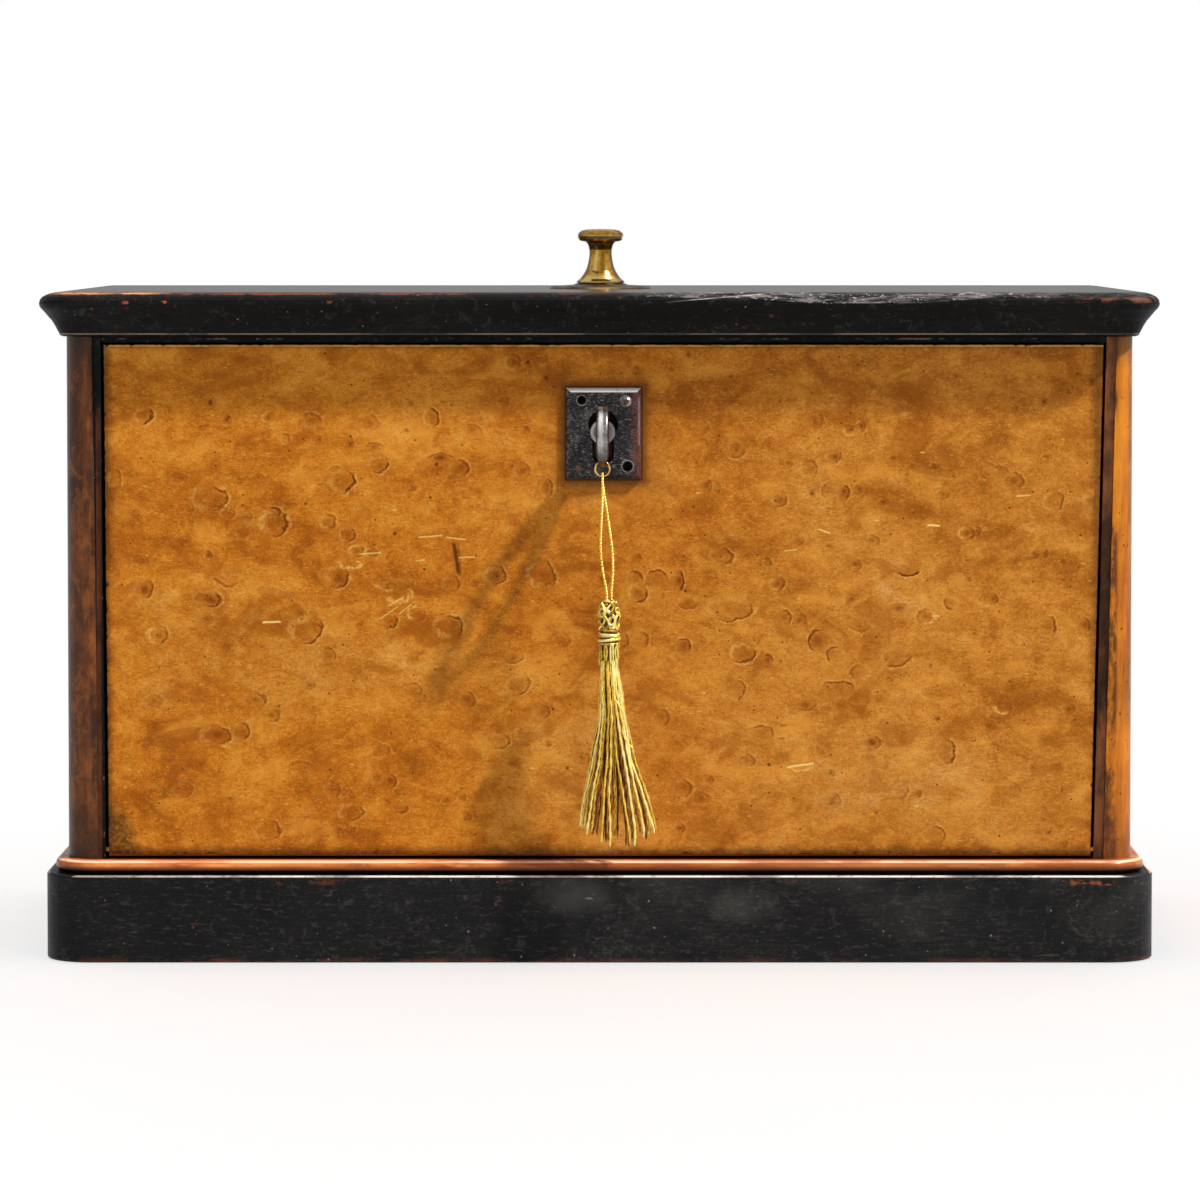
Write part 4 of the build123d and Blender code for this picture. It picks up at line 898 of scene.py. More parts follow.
# --- burr veneer of the fall -------------------------------------------------
# Marks read from the photograph: place (photo pixels), radii across and up, direction of the dark arc
# (degrees, 0 right, 90 up), strength of arc, ring, dark core and pale side.
MARKS = [
    (142, 414, 10, 9, -20, 1.0, 0.3, 0.2, 0.4), (209, 401, 6, 7, 0, 0.2, 0.0, 1.0, 0.0), (267, 416, 6, 5, 10, 0.3, 0.1, 0.5, 0.6),
    (310, 420, 10, 8, 60, 0.5, 0.4, 0.5, 0.3), (318, 438, 3, 4, 0, 0.3, 0.0, 0.9, 0.0), (349, 442, 4, 7, 0, 0.4, 0.0, 1.0, 0.0),
    (366, 421, 12, 9, 10, 0.3, 0.2, 0.4, 0.2), (374, 447, 8, 5, 80, 0.5, 0.2, 0.4, 0.2), (377, 463, 11, 8, -40, 0.8, 0.9, 0.5, 0.3),
    (341, 480, 13, 12, -15, 1.0, 0.5, 0.2, 0.4), (335, 470, 6, 5, 90, 0.4, 0.2, 0.3, 0.1), (206, 497, 20, 13, 5, 0.8, 0.8, 0.2, 0.3),
    (226, 512, 8, 5, -10, 0.4, 0.0, 0.5, 0.3), (178, 478, 9, 6, 60, 0.3, 0.1, 0.5, 0.2), (273, 521, 14, 14, -20, 0.9, 0.7, 0.1, 0.6),
    (271, 511, 9, 5, 35, 1.0, 0.0, 0.5, 0.2), (245, 516, 6, 5, 0, 0.3, 0.0, 0.6, 0.1), (241, 531, 6, 6, -20, 0.3, 0.2, 0.4, 0.2),
    (326, 521, 9, 8, 20, 0.6, 0.3, 0.4, 0.5), (346, 533, 8, 7, -10, 0.7, 0.5, 0.3, 0.4), (355, 549, 8, 6, -30, 0.5, 0.2, 0.5, 0.7),
    (369, 551, 7, 5, -10, 0.5, 0.0, 0.6, 0.7), (335, 575, 12, 11, -35, 1.0, 0.6, 0.7, 0.3), (351, 561, 14, 7, 80, 0.0, 0.0, 0.0, 1.0),
    (228, 576, 14, 9, -120, 0.6, 0.4, 0.0, 0.2), (142, 588, 10, 9, -10, 0.8, 0.3, 0.8, 0.2), (206, 597, 14, 8, -25, 0.9, 0.2, 0.8, 0.3),
    (204, 618, 7, 6, 0, 0.3, 0.0, 0.6, 0.1), (389, 619, 8, 7, -40, 0.7, 0.7, 0.5, 0.2), (303, 628, 17, 15, -25, 1.0, 0.2, 0.1, 0.5),
    (299, 614, 7, 7, 30, 0.3, 0.0, 0.6, 0.1), (155, 634, 11, 9, -5, 0.7, 0.3, 0.4, 0.7), (113, 478, 7, 9, 10, 0.5, 0.5, 0.2, 0.4),
    (398, 592, 16, 11, 120, 0.3, 0.1, 0.1, 0.9), (440, 458, 16, 6, 90, 0.5, 0.3, 0.9, 0.1), (458, 467, 10, 9, 20, 0.8, 0.4, 0.5, 0.2),
    (455, 550, 4, 8, 0, 0.5, 0.0, 1.0, 0.0), (457, 565, 4, 9, 0, 0.5, 0.0, 1.0, 0.0), (493, 574, 11, 10, 0, 0.8, 0.5, 0.5, 0.4),
    (540, 573, 15, 13, 10, 0.7, 0.6, 0.2, 0.5), (447, 627, 15, 12, 25, 0.9, 0.6, 0.3, 0.4), (449, 582, 9, 8, 0, 0.6, 0.4, 0.3, 0.3),
    (415, 612, 9, 8, -20, 0.3, 0.3, 0.1, 0.8), (385, 585, 10, 6, 60, 0.3, 0.1, 0.2, 0.7), (517, 683, 12, 10, -30, 0.7, 0.7, 0.3, 0.3),
    (601, 578, 8, 6, 0, 0.4, 0.0, 0.9, 0.1), (636, 592, 10, 9, -30, 0.9, 0.5, 0.5, 0.5), (634, 578, 8, 7, 50, 0.8, 0.3, 0.2, 0.2),
    (658, 577, 10, 8, 90, 0.9, 0.2, 0.3, 0.1), (678, 580, 6, 10, 0, 1.0, 0.2, 0.7, 0.1), (704, 484, 7, 7, 0, 0.5, 0.8, 0.6, 0.2),
    (715, 486, 5, 6, 0, 0.5, 0.3, 0.2, 0.3), (735, 447, 10, 9, -60, 0.5, 0.2, 0.4, 0.2), (778, 498, 8, 7, -30, 0.6, 0.3, 0.5, 0.4),
    (807, 467, 10, 9, 20, 0.4, 0.8, 0.3, 0.4), (850, 429, 8, 6, 60, 0.3, 0.3, 0.7, 0.7), (833, 455, 8, 6, -20, 0.6, 0.2, 0.6, 0.3),
    (813, 420, 9, 8, 0, 0.3, 0.3, 0.3, 0.1), (860, 425, 5, 6, 0, 0.5, 0.0, 0.9, 0.6), (811, 492, 4, 4, 0, 0.3, 0.0, 1.0, 0.4),
    (843, 491, 6, 7, 10, 0.9, 0.4, 0.6, 0.0), (832, 490, 9, 8, 160, 0.4, 0.5, 0.2, 0.2), (858, 488, 4, 4, 0, 0.4, 0.0, 0.8, 0.0),
    (881, 500, 7, 3, -35, 0.3, 0.0, 0.9, 0.3), (1046, 455, 6, 3, 0, 0.2, 0.0, 0.9, 0.5), (1012, 480, 10, 9, 10, 0.6, 0.3, 0.4, 0.2),
    (1000, 472, 9, 7, 60, 0.4, 0.1, 0.3, 0.1), (1053, 500, 11, 10, 0, 0.6, 0.5, 0.0, 0.4), (720, 555, 12, 9, 0, 0.7, 0.6, 0.0, 0.2),
    (776, 583, 8, 6, 10, 0.7, 0.1, 0.5, 0.4), (797, 540, 6, 5, 0, 0.4, 0.1, 0.6, 0.1), (965, 532, 9, 7, 0, 0.5, 0.3, 0.6, 0.8),
    (975, 530, 6, 5, 0, 0.5, 0.2, 0.5, 0.1), (908, 569, 12, 6, -80, 1.0, 0.8, 0.4, 0.1), (854, 563, 7, 6, 0, 0.4, 0.1, 0.6, 0.1),
    (871, 540, 8, 6, 30, 0.5, 0.1, 0.4, 0.1), (727, 607, 24, 12, -50, 0.9, 0.1, 0.1, 0.3), (688, 600, 10, 7, -90, 0.5, 0.2, 0.3, 0.3),
    (782, 617, 9, 8, 20, 0.7, 0.2, 0.5, 0.1), (683, 647, 8, 9, 60, 0.9, 0.1, 0.4, 0.2), (640, 640, 8, 9, 20, 0.5, 0.4, 0.1, 0.1),
    (742, 652, 13, 10, -50, 1.0, 0.1, 0.2, 0.6), (768, 660, 5, 6, 60, 0.8, 0.0, 0.6, 0.1), (838, 655, 10, 9, 160, 0.7, 0.4, 0.2, 0.2),
    (862, 672, 10, 7, 160, 0.5, 0.2, 0.1, 0.4), (733, 690, 12, 10, 10, 0.6, 0.7, 0.1, 0.3), (797, 620, 9, 7, 30, 0.4, 0.2, 0.6, 0.1),
    (821, 640, 11, 12, 170, 0.9, 0.5, 0.4, 0.1), (895, 655, 15, 11, -55, 0.8, 0.2, 0.1, 0.2), (953, 602, 8, 7, 200, 0.6, 0.5, 0.1, 0.3),
    (992, 598, 6, 5, 0, 0.6, 0.2, 0.7, 0.1), (927, 616, 9, 8, 150, 0.5, 0.1, 0.3, 0.7), (900, 608, 8, 5, 90, 0.4, 0.0, 0.6, 0.1),
    (1048, 627, 9, 10, 30, 0.7, 0.6, 0.2, 0.2), (1084, 625, 6, 7, 20, 0.7, 0.2, 0.6, 0.2), (860, 622, 12, 8, -90, 0.4, 0.2, 0.3, 0.1),
    (838, 690, 17, 9, 80, 0.8, 0.1, 0.2, 0.2), (805, 703, 10, 6, -60, 0.5, 0.3, 0.5, 0.1), (1003, 708, 9, 6, 60, 0.3, 0.1, 0.1, 0.8),
    (1068, 708, 7, 5, 0, 0.4, 0.2, 0.6, 0.3), (945, 752, 11, 13, 0, 0.9, 0.4, 0.2, 0.3), (870, 742, 12, 7, 0, 0.6, 0.1, 0.8, 0.3),
    (801, 767, 14, 5, 100, 0.2, 0.0, 0.1, 1.0), (987, 725, 8, 6, 0, 0.2, 0.0, 0.5, 0.1), (760, 735, 13, 9, 60, 0.6, 0.4, 0.2, 0.2),
    (745, 760, 9, 7, 10, 0.5, 0.2, 0.3, 0.2), (681, 788, 10, 9, 0, 0.6, 0.4, 0.3, 0.2), (660, 718, 9, 9, 20, 0.5, 0.3, 0.3, 0.2),
    (252, 700, 12, 8, 20, 0.5, 0.2, 0.5, 0.2), (213, 735, 16, 9, 0, 0.8, 0.3, 0.6, 0.3), (239, 731, 9, 10, 10, 0.7, 0.5, 0.4, 0.3),
    (268, 714, 10, 7, -20, 0.5, 0.2, 0.5, 0.2), (224, 645, 12, 8, 0, 0.2, 0.1, 0.4, 0.1), (325, 655, 9, 8, 30, 0.5, 0.4, 0.3, 0.2),
    (265, 831, 14, 10, 10, 0.6, 0.7, 0.1, 0.3), (387, 781, 8, 7, 0, 0.7, 0.1, 0.7, 0.2), (348, 812, 13, 8, -20, 0.6, 0.3, 0.2, 0.4),
    (378, 752, 10, 8, 40, 0.4, 0.2, 0.3, 0.2), (300, 770, 12, 9, 90, 0.4, 0.3, 0.1, 0.2), (330, 790, 9, 7, 0, 0.4, 0.1, 0.3, 0.2),
    (497, 740, 12, 9, -30, 0.6, 0.3, 0.2, 0.3), (465, 700, 9, 8, 20, 0.5, 0.3, 0.4, 0.2), (540, 712, 9, 7, 10, 0.4, 0.2, 0.5, 0.2),
    (512, 655, 10, 7, -60, 0.5, 0.2, 0.4, 0.1), (934, 836, 12, 9, 20, 0.6, 0.4, 0.2, 0.3), (830, 800, 10, 8, 0, 0.4, 0.2, 0.3, 0.2),
    (1010, 790, 11, 8, 30, 0.3, 0.3, 0.2, 0.1), (1040, 660, 9, 7, 90, 0.3, 0.2, 0.3, 0.2), (700, 640, 6, 5, 0, 0.3, 0.1, 0.5, 0.1),
    (470, 430, 10, 7, 50, 0.4, 0.1, 0.4, 0.1), (430, 416, 8, 10, 10, 0.9, 0.4, 0.3, 0.4), (520, 470, 9, 8, 30, 0.4, 0.2, 0.4, 0.2),
    (545, 487, 7, 9, 10, 0.8, 0.3, 0.6, 0.3), (500, 400, 8, 6, 0, 0.3, 0.1, 0.3, 0.1), (700, 425, 8, 7, 0, 0.3, 0.3, 0.3, 0.1),
    (150, 700, 10, 7, 0, 0.3, 0.1, 0.4, 0.2), (135, 560, 7, 5, 30, 0.3, 0.1, 0.4, 0.3), (620, 640, 8, 8, 0, 0.5, 0.5, 0.1, 0.1),
    (560, 640, 9, 7, -20, 0.4, 0.2, 0.4, 0.2), (580, 760, 10, 7, 20, 0.4, 0.3, 0.2, 0.2), (410, 690, 10, 8, 30, 0.4, 0.3, 0.2, 0.2),
    (180, 790, 11, 8, 0, 0.3, 0.3, 0.2, 0.2), (700, 800, 9, 7, 60, 0.4, 0.2, 0.4, 0.2), (900, 790, 9, 8, -30, 0.4, 0.3, 0.2, 0.2),
    (687, 353, 4, 4, 0, 0.2, 0.0, 1.0, 0.0), (1017, 351, 4, 4, 0, 0.2, 0.0, 1.0, 0.0), (1076, 372, 5, 4, 0, 0.2, 0.0, 1.0, 0.0),
    (1091, 379, 3, 3, 0, 0.2, 0.0, 1.0, 0.0), (1043, 400, 4, 4, 0, 0.3, 0.0, 1.0, 0.1), (955, 374, 3, 3, 0, 0.2, 0.0, 1.0, 0.0),
    (637, 366, 3, 3, 0, 0.2, 0.0, 1.0, 0.0), (729, 375, 7, 6, 0, 0.2, 0.1, 0.8, 0.0), (857, 363, 6, 6, 0, 0.2, 0.1, 0.7, 0.0),
    (545, 376, 4, 5, 0, 0.2, 0.0, 1.0, 0.0), (512, 361, 8, 8, 30, 0.5, 0.2, 0.5, 0.4), (553, 385, 4, 4, 0, 0.2, 0.0, 0.9, 0.0),
]


def to_mm(px, py):
    return (px - 599.5) * 0.36, 257.6 - (py - 245.0) * 0.36


marks = []
for px, py, rx, ry, ang, arc_, ring_, core_, pale_ in MARKS:
    cx, cz = to_mm(px, py)
    marks.append((cx, cz, rx * 0.36, ry * 0.36, math.radians(ang), arc_, ring_, core_, pale_))
mr = random.Random(23)
tries = 0
while tries < 4000 and len(marks) < len(MARKS) + 60:
    tries += 1
    cx, cz = mr.uniform(-174, 175), mr.uniform(42, 208)
    r = mr.uniform(0.7, 1.9)
    if all(math.hypot(cx - q[0], cz - q[1]) > r + 1.2 * max(q[2], q[3]) for q in marks) and math.hypot(cx - 1.5, cz - 190) > 26:
        marks.append((cx, cz, r * mr.uniform(0.9, 1.5), r, mr.uniform(-1.2, 0.9), mr.uniform(0.1, 0.7), mr.uniform(0, 0.3),
                      mr.uniform(0, 0.8), mr.uniform(0, 0.5)))
order = sorted(marks, key=lambda q: -max(q[2], q[3]))
SETS = [[], [], []]
for q in order:
    best, gap = 0, -1e9
    for k, group in enumerate(SETS):
        g = min([math.hypot(q[0] - o[0], q[1] - o[1]) - 1.75 * (max(q[2], q[3]) + max(o[2], o[3])) for o in group], default=1e3)
        if g > gap:
            best, gap = k, g
    SETS[best].append(q)

XL, XR, Z0, Z1, VZ0 = (-177.3, -178.5), (177.4, 181.5), 37.3, 222.3, 38.2
KX_, KZ_ = 1.2, 191.0
HX0, HX1, HZ0, HZ1 = KX_ - 3.4, KX_ + 3.4, KZ_ - 9.2, KZ_ + 3.6


def split(a, b, h):
    n = max(1, int(round((b - a) / h)))
    return [a + (b - a) * i / n for i in range(n)]


xs = split(-177.6, HX0, 1.25) + split(HX0, HX1, 1.36) + split(HX1, 179.0, 1.25) + [179.0]
zs = split(VZ0, HZ0, 1.25) + split(HZ0, HZ1, 1.28) + split(HZ1, Z1, 1.25) + [Z1]
nx, nz = len(xs), len(zs)
er = random.Random(5)
front, back = [], []
for j, zz in enumerate(zs):
    k = (zz - Z0) / (Z1 - Z0)
    xl, xr = XL[0] + (XL[1] - XL[0]) * k, XR[0] + (XR[1] - XR[0]) * k
    for i, xx in enumerate(xs):
        if xx < HX0 - 20:
            x_ = xl + (xx - xs[0]) * ((HX0 - 20) - xl) / ((HX0 - 20) - xs[0])
        elif xx > HX1 + 20:
            x_ = xr - (xs[-1] - xx) * (xr - (HX1 + 20)) / (xs[-1] - (HX1 + 20))
        else:
            x_ = xx
        z_, y_ = zz, -89.0 + 0.03 + 0.03 * math.sin(0.11 * xx + 2 * math.sin(0.07 * zz)) * math.sin(0.13 * zz)
        lost = 0.0
        if i in (0, nx - 1) or j in (0, nz - 1):
            lost = abs(er.gauss(0, 0.16))
            if er.random() < 0.03:
                lost += er.uniform(0.2, 0.6)
            lost = min(lost, 0.75)
            y_ += 0.12 + 0.25 * lost
        fx = x_ + (lost if i == 0 else -lost if i == nx - 1 else 0)
        fz = z_ + (lost if j == 0 else -lost * 0.5 if j == nz - 1 else 0)
        front.append((fx * MM, y_ * MM, fz * MM))
        back.append((x_ * MM, -88.2 * MM, z_ * MM))
nv = nx * nz
faces = []


def hole(i, j):
    return HX0 - 0.01 < xs[i] and xs[i + 1] < HX1 + 0.01 and HZ0 - 0.01 < zs[j] and zs[j + 1] < HZ1 + 0.01


edges = {}
for j in range(nz - 1):
    for i in range(nx - 1):
        if hole(i, j):
            continue
        a, b, c, d = j * nx + i, j * nx + i + 1, (j + 1) * nx + i + 1, (j + 1) * nx + i
        faces.append((a, b, c, d))
        faces.append((a + nv, d + nv, c + nv, b + nv))
        for e in ((a, b), (b, c), (c, d), (d, a)):
            if (e[1], e[0]) in edges:
                del edges[(e[1], e[0])]
            else:
                edges[e] = 1
for a, b in edges:
    faces.append((b, a, a + nv, b + nv))
m = Mat("burr_veneer", spec=0.07)
sheet = mesh_object("fall_veneer_sheet", front + back, faces, m.m, smooth=False)
used = np.zeros(2 * nv, bool)
for f in faces:
    used[list(f)] = True
bm = bmesh.new()
bm.from_mesh(sheet.data)
bmesh.ops.delete(bm, geom=[v for v in bm.verts if not v.link_faces], context="VERTS")
bm.to_mesh(sheet.data)
bm.free()
co = np.zeros(len(sheet.data.vertices) * 3)
sheet.data.vertices.foreach_get("co", co)
co = co.reshape(-1, 3) * 1000
for k, group in enumerate(SETS):
    q = np.array(group)
    best = np.full(len(co), 1e9)
    uv = np.zeros((len(co), 3))
    st = np.zeros((len(co), 3))
    ex = np.zeros((len(co), 3))
    for cx, cz, rx, ry, ang, a_, r_, c_, p_ in group:
        dx, dz = (co[:, 0] - cx) / rx, (co[:, 2] - cz) / ry
        u_, v_ = dx * math.cos(ang) + dz * math.sin(ang), -dx * math.sin(ang) + dz * math.cos(ang)
        rad = np.hypot(dx, dz)
        size = math.sqrt(rx * ry)
        near = (rad - 1.0) * size
        hit = near < best
        best[hit] = near[hit]
        w_ = np.clip((1.85 - rad) / 0.35, 0, 1)
        uv[hit] = np.stack([u_, v_, w_], 1)[hit]
        st[hit] = (a_, r_, c_)
        ex[hit] = (p_, min(0.55, 0.52 / size), 0.0)
    for nm, arr in (("mark_place", uv), ("mark_kind", st), ("mark_more", ex)):
        at = sheet.data.attributes.new(nm + str(k), "FLOAT_VECTOR", "POINT")
        at.data.foreach_set("vector", arr.astype(np.float32).ravel())


def V(r, g, b):
    """A display colour on the lit veneer, as the surface colour that gives it."""
    return (lin(r) * 0.80, lin(g) * 0.80, lin(b) * 0.52, 1.0)


x, y, z = m.xyz()
big = m.noise(13, 3, 0.55, 0.9, vec=m.place((0.75, 1, 1.15), rot=(0, 24, 0)))
med = m.noise(46, 4, 0.6, 1.0, vec=m.place((0.7, 1, 1.2), rot=(0, 28, 0)))
mot = m.noise(170, 3, 0.65, 0.5)
fib = m.noise(1.0, 3, 0.65, vec=m.place((430, 60, 2000)))
fib2 = m.noise(1.0, 2, 0.6, vec=m.place((900, 60, 3600)))
grit = m.noise(1300, 1, 0.7)
v = m.add(m.add(m.mul(big, 0.34), m.mul(med, 0.30)), m.add(m.mul(mot, 0.24), m.mul(fib, 0.12)))
hot = m.ramp(v, [(0.40, V(158, 82, 8)), (0.46, V(188, 106, 22)), (0.51, V(203, 121, 34)), (0.56, V(214, 136, 50)), (0.62, V(228, 158, 80))])
tan = m.ramp(v, [(0.40, V(158, 90, 22)), (0.46, V(186, 111, 38)), (0.51, V(200, 125, 52)), (0.56, V(210, 138, 66)), (0.62, V(222, 157, 94))])
side = m.step(m.add(x, m.mul(m.sub(big, 0.5), 0.25)), -0.09, 0.10)
col = m.mix(side, hot, tan)
# broad tones: deeper at the left middle and right foot, paler right of the tassel
for x0, x1, z0, z1, k, tone_ in ((-0.170, -0.074, 0.092, 0.132, 0.34, V(158, 84, 12)), (0.080, 0.172, 0.042, 0.074, 0.22, V(160, 90, 30)),
                                 (0.012, 0.060, 0.090, 0.132, 0.28, V(224, 152, 70))):
    where_ = m.mul(m.gate(m.add(x, m.mul(m.sub(med, 0.5), 0.05)), x0, x1, 0.022), m.gate(m.add(z, m.mul(m.sub(med, 0.5), 0.04)), z0, z1, 0.014))
    col = m.mix(m.mul(where_, k), col, tone_)
# fibre flecks
fl = m.step(fib, 0.53, 0.66)
col = m.mix(m.mul(fl, 0.42), col, V(146, 76, 12))
fl2 = m.step(fib2, 0.56, 0.70)
col = m.mix(m.mul(fl2, 0.46), col, V(126, 64, 10))
pl = m.step(fib, 0.45, 0.32)
col = m.mix(m.mul(pl, 0.36), col, V(236, 172, 96))
short = m.add(m.specks(2.3, 0.16, 0.30, vec=m.place((0.36, 1, 1)), seed=12.7), m.specks(3.4, 0.12, 0.35, vec=m.place((0.30, 1, 1), rot=(0, 9, 0)), seed=3.9), clamp=True)
col = m.mix(m.mul(short, 0.42), col, V(124, 62, 10))
lite = m.specks(2.7, 0.15, 0.30, vec=m.place((0.36, 1, 1), rot=(0, -7, 0)), seed=8.8)
col = m.mix(m.mul(lite, 0.40), col, V(242, 186, 112))
col = m.mix(m.step(grit, 0.55, 0.68, 0.0, 0.26), col, V(120, 60, 10))
col = m.mix(m.step(grit, 0.44, 0.31, 0.0, 0.22), col, V(240, 180, 104))
# blotches the size of a fingertip, deeper brown and lit yellow
blo = m.noise(78, 3, 0.55, 0.8, vec=m.place((0.75, 1, 1.1), loc=(0.7, 2.1, 0.3)))
col = m.mix(m.mul(m.step(blo, 0.53, 0.66), 0.42), col, V(150, 74, 6))
col = m.mix(m.mul(m.step(blo, 0.47, 0.32), 0.30), col, V(240, 166, 78))
# scattered darker smudges
sm = m.mul(m.step(med, 0.45, 0.32), 0.5)
col = m.mix(sm, col, V(150, 80, 14))
# marks
wob = m.mul(m.sub(m.noise(420, 3, 0.6), 0.5), 1.0)
bend = m.mul(m.sub(m.noise(210, 2, 0.6, vec=m.place(loc=(1.3, 0.4, 2.2))), 0.5), 1.5)
wob2 = m.noise(800, 2, 0.6)
groove, halo, darkest, pale = None, None, None, None
for k in range(3):
    p1, p2, p3 = m.attr("mark_place%d" % k), m.attr("mark_kind%d" % k), m.attr("mark_more%d" % k)
    s1, s2, s3 = [m.t.nodes.new("ShaderNodeSeparateXYZ") for _ in range(3)]
    for s_, p_ in ((s1, p1), (s2, p2), (s3, p3)):
        m.t.links.new(p_, s_.inputs[0])
    u_, v_, w_ = s1.outputs
    arc_, ring_, core_ = s2.outputs
    pal_, th_ = s3.outputs[0], s3.outputs[1]
    r_ = m.math("SQRT", m.add(m.mul(u_, u_), m.mul(v_, v_)))
    c_ = m.math("DIVIDE", u_, m.math("MAXIMUM", r_, 0.05))
    rw = m.add(r_, m.add(m.mul(wob, 0.45), m.mul(bend, 0.55)))
    arcm = m.step(m.add(c_, m.add(m.mul(wob, 0.8), m.mul(bend, 0.5))), 0.10, 0.85)
    thin_ = m.mul(th_, m.add(m.mul(arcm, 0.75), 0.45))
    off = m.math("DIVIDE", m.math("ABSOLUTE", m.sub(rw, 1.0)), thin_)
    line_ = m.step(off, 1.3, 0.15)
    off2 = m.math("DIVIDE", m.math("ABSOLUTE", m.sub(rw, 0.58)), th_)
    in_ = m.mul(m.step(off2, 1.4, 0.3), 0.4)
    ln = m.add(m.mul(m.mul(arc_, arcm), line_), m.mul(m.mul(ring_, 0.55), m.mul(m.add(m.mul(line_, 0.6), in_), m.step(wob2, 0.46, 0.62))), clamp=True)
    cu_ = m.sub(u_, 0.30)
    rc = m.add(m.math("SQRT", m.add(m.mul(cu_, cu_), m.mul(v_, v_))), m.add(m.mul(wob, 0.7), m.mul(bend, 0.5)))
    core = m.mul(core_, m.step(rc, 0.62, 0.05))
    # pale crescents inside each eye and just outside its arc: painted highlight
    crc = m.mul(pal_, m.mul(m.step(m.math("ABSOLUTE", m.sub(rw, 0.80)), 0.34, 0.05), m.step(c_, 0.35, -0.5)))
    crc = m.add(crc, m.mul(m.mul(arc_, 0.62), m.mul(arcm, m.step(m.math("ABSOLUTE", m.sub(m.sub(rw, 1.0), m.mul(th_, 1.7))), 0.18, 0.02))), clamp=True)
    hl = m.mul(m.step(m.add(r_, m.mul(bend, 0.8)), 1.75, 0.2), m.add(m.mul(core_, 0.55), m.mul(arc_, 0.55), clamp=True))
    ln, core, crc, hl = m.mul(ln, w_), m.mul(core, w_), m.mul(crc, w_), m.mul(hl, w_)
    groove = ln if groove is None else m.math("MAXIMUM", groove, ln)
    darkest = core if darkest is None else m.math("MAXIMUM", darkest, core)
    pale = crc if pale is None else m.math("MAXIMUM", pale, crc)
    halo = hl if halo is None else m.math("MAXIMUM", halo, hl)
col = m.mix(m.mul(halo, 0.62), col, V(158, 80, 6))
# painted highlight: the pale crescents laid over the wood
col = m.mix(m.mul(pale, m.step(wob2, 0.34, 0.62, 0.15, 0.80)), col, V(244, 188, 114))
col = m.mix(m.mul(darkest, m.step(wob2, 0.25, 0.6, 0.55, 0.95)), col, V(104, 44, 2))
col = m.mix(m.mul(groove, m.step(wob2, 0.25, 0.6, 0.62, 1.0)), col, V(116, 50, 2))
# pin dots
d1 = m.specks(4.4, 0.105, 0.55)
d2 = m.specks(9.0, 0.065, 0.40, seed=4.2)
d3 = m.specks(2.6, 0.11, 0.20, seed=9.2)
d4 = m.specks(15.0, 0.062, 0.50, seed=7.3)
dots = m.add(m.add(m.add(d1, d2), m.mul(d3, 0.6)), d4, clamp=True)
col = m.mix(m.mul(dots, 0.80), col, V(70, 32, 8))
dash = m.specks(6.0, 0.10, 0.30, vec=m.place((0.35, 1, 1)), seed=2.7)
col = m.mix(m.mul(dash, 0.45), col, V(112, 56, 12))
glint = m.specks(7.0, 0.075, 0.35, vec=m.place((0.45, 1, 1)), seed=6.1)
col = m.mix(m.mul(glint, 0.5), col, V(244, 206, 144))


# pale scratches and one dark stroke: centre (photo pixels), half length, half width, slope in degrees, strength
def stroke(cx, cy, half, wide, deg, strength, colour, col):
    ax, az = to_mm(cx, cy)
    ca, sa = math.cos(math.radians(deg)), math.sin(math.radians(deg))
    dx, dz = m.sub(x, ax * MM), m.sub(z, az * MM)
    al = m.add(m.mul(dx, ca), m.mul(dz, sa))
    ac = m.add(m.add(m.mul(dx, -sa), m.mul(dz, ca)), m.mul(wob, wide * 0.36 * MM * 0.8))
    a1 = m.step(m.math("ABSOLUTE", al), half * 0.36 * MM, half * 0.36 * MM * 0.8)
    a2 = m.step(m.math("ABSOLUTE", ac), wide * 0.36 * MM, wide * 0.36 * MM * 0.35)
    return m.mix(m.mul(m.mul(a1, a2), strength), col, colour)


PALE = V(250, 214, 150)
for cx, cy, half, wide, deg, st_ in ((271, 621, 10, 1.5, 2, 0.85), (934, 524, 7, 1.4, -3, 0.9), (791, 549, 7, 1.0, 6, 0.5),
                                     (825, 530, 7, 1.2, -20, 0.7), (430, 535, 13, 1.1, 4, 0.6), (456, 537, 11, 1.0, -6, 0.6),
                                     (467, 556, 9, 1.0, 3, 0.55), (420, 559, 5, 1.0, 6, 0.5), (937, 615, 4, 1.5, 0, 0.5),
                                     (801, 765, 15, 1.6, 8, 0.75), (1024, 494, 8, 1.1, 4, 0.6), (370, 552, 12, 1.2, 4, 0.55),
                                     (396, 600, 10, 1.0, 30, 0.5), (388, 612, 12, 0.9, 35, 0.45), (405, 608, 9, 0.9, 40, 0.45)):
    col = stroke(cx, cy, half, wide, deg, st_, PALE, col)
col = stroke(456, 557, 17, 2.3, -80, 0.9, V(92, 44, 10), col)
# edges: stain, the darkened foot at the left corner, grime round the key plate with a painted shade line at its edge,
# painted shade inside the key slot
rag = m.mul(m.sub(m.noise(190, 4, 0.7), 0.5), 0.0060)
xe = m.math("ABSOLUTE", m.sub(x, 0.0007))
e1 = m.step(m.add(xe, rag), 0.1748, 0.1788)
e2 = m.step(m.add(z, rag), 0.0425, 0.0385)
e3 = m.step(m.add(z, m.mul(rag, -0.6)), 0.2196, 0.2222)
edge = m.math("MAXIMUM", m.math("MAXIMUM", e1, e2), m.mul(e3, 0.6))
col = m.mix(m.mul(edge, 0.70), col, V(84, 48, 22))
ds = m.math("SQRT", m.add(m.math("POWER", m.mul(m.add(x, 0.1775), 0.9), 2.0), m.math("POWER", m.mul(m.sub(z, 0.040), 0.55), 2.0)))
corner = m.step(m.add(ds, m.mul(rag, 1.1)), 0.0110, 0.0065)
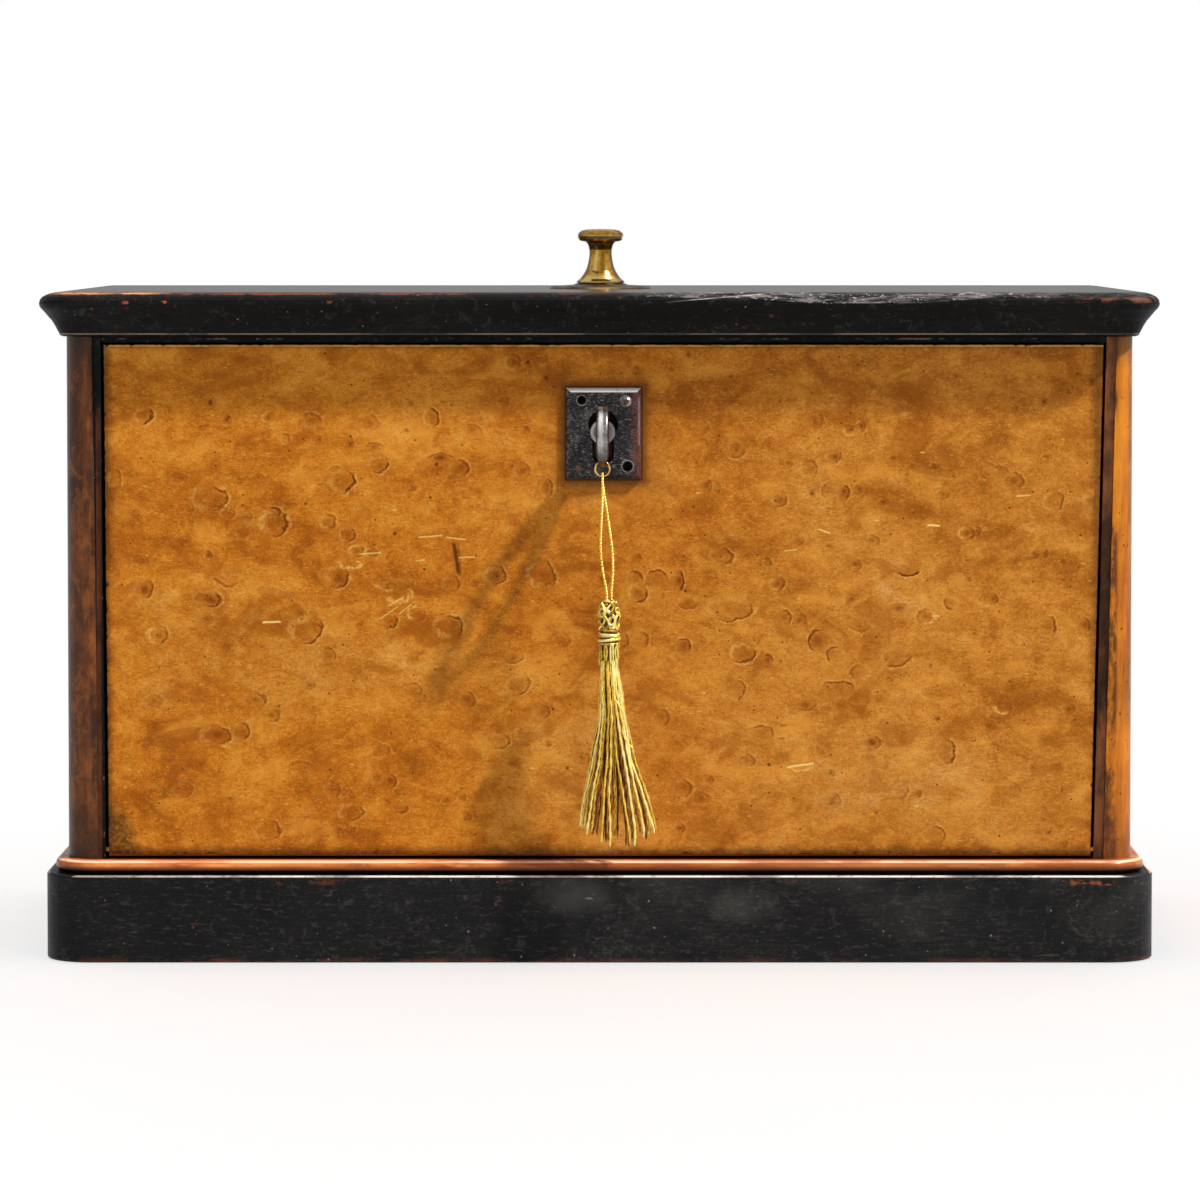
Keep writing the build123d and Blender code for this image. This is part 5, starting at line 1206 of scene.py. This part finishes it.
col = m.mix(m.mul(corner, m.step(wob2, 0.25, 0.65, 0.45, 0.85)), col, V(60, 38, 24))
rx_ = m.math("MAXIMUM", m.sub(m.math("ABSOLUTE", m.sub(x, 0.00155)), 0.01345), 0.0)
rz_ = m.math("MAXIMUM", m.sub(m.math("ABSOLUTE", m.sub(z, 0.1903)), 0.01645), 0.0)
rd = m.math("SQRT", m.add(m.mul(rx_, rx_), m.mul(rz_, rz_)))
grime = m.step(m.add(rd, m.mul(rag, 0.35)), 0.0042, 0.0004)
col = m.mix(m.mul(grime, 0.72), col, V(62, 34, 22))
# painted shade: a near-black line close round the key plate
col = m.mix(m.mul(m.step(m.add(rd, m.mul(rag, 0.06)), 0.00075, 0.00045), 0.88), col, V(24, 15, 12))
soft = m.step(m.add(rd, m.mul(rag, 0.8)), 0.0125, 0.001)
col = m.mix(m.mul(soft, 0.30), col, V(140, 80, 36))
# painted shade: near-black where the plate covers the sheet, seen through the key slot
covered = m.mul(m.step(m.math("ABSOLUTE", m.sub(x, 0.00155)), 0.0134, 0.0131), m.step(m.math("ABSOLUTE", m.sub(z, 0.1905)), 0.0166, 0.0163))
col = m.mix(covered, col, V(10, 7, 6))
crown = m.mul(m.gate(m.add(z, m.mul(rag, 0.10)), 0.22165, 0.22215, 0.00012), m.step(m.noise(50, 4, 0.7), 0.36, 0.50, 0.25, 1.0))
col = m.mix(m.mul(crown, 0.8), col, V(226, 172, 122))
# the side walls and the back of the sheet
col = m.mix(m.step(y, -0.08885, -0.08870), col, V(92, 54, 28))
# the painted shade inside the key slot again, over the side walls
col = m.mix(covered, col, V(10, 7, 6))
m.set("Base Color", col)
m.set("Roughness", m.fmix(m.noise(130, 4, 0.6), 0.46, 0.66))
relief = m.add(m.add(m.mul(mot, 0.24), m.mul(med, 0.30)), m.mul(fib, 0.05))
dents = m.add(m.add(m.mul(groove, 0.09), m.mul(darkest, 0.10)), m.mul(dots, 0.12))
m.bump(m.add(m.sub(relief, dents), m.mul(pale, 0.07)), 0.0006, 0.8)
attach(sheet, "fall")
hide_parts("fall_veneer")

# --- floor and light --------------------------------------------------------
bpy.ops.mesh.primitive_circle_add(vertices=96, radius=9.0, fill_type="NGON", location=(0, 0, -0.0002))
floor = bpy.context.object
floor.name = "floor"
m = Mat("floor_white", rough=0.9, spec=0.1)
m.set("Base Color", m.ramp(m.noise(3, 2, 0.5), [(0.3, C(236, 236, 236)), (0.7, C(240, 240, 240))]))
m.bs.inputs["Emission Color"].default_value = (1, 1, 1, 1)
m.bs.inputs["Emission Strength"].default_value = 0.55
floor.data.materials.append(m.m)

world = bpy.data.worlds.new("studio")
scene.world = world
world.use_nodes = True
wt = world.node_tree
wt.nodes.clear()
wo = wt.nodes.new("ShaderNodeOutputWorld")
b1, b2 = wt.nodes.new("ShaderNodeBackground"), wt.nodes.new("ShaderNodeBackground")
mixw, lp = wt.nodes.new("ShaderNodeMixShader"), wt.nodes.new("ShaderNodeLightPath")
b1.inputs[0].default_value, b1.inputs[1].default_value = (1, 1, 1, 1), 0.55
b2.inputs[0].default_value, b2.inputs[1].default_value = (1, 1, 1, 1), 1.0
wt.links.new(lp.outputs["Is Camera Ray"], mixw.inputs[0])
wt.links.new(b1.outputs[0], mixw.inputs[1])
wt.links.new(b2.outputs[0], mixw.inputs[2])
wt.links.new(mixw.outputs[0], wo.inputs[0])

sun = bpy.data.objects.new("key_light", bpy.data.lights.new("key_light", "SUN"))
scene.collection.objects.link(sun)
sun.data.energy = 6.0
sun.data.angle = math.radians(3.0)
sun.data.color = (1.0, 0.985, 0.955)
sun.rotation_mode = "QUATERNION"
sun.rotation_quaternion = Vector((-2.34, 1.0, -3.55)).to_track_quat("-Z", "Y")
only = bpy.data.collections.new("not_the_floor")
only.objects.link(floor)
sun.light_linking.receiver_collection = only
only.collection_objects[0].light_linking.link_state = "EXCLUDE"

# --- end --------------------------------------------------------------------
bpy.context.view_layer.update()
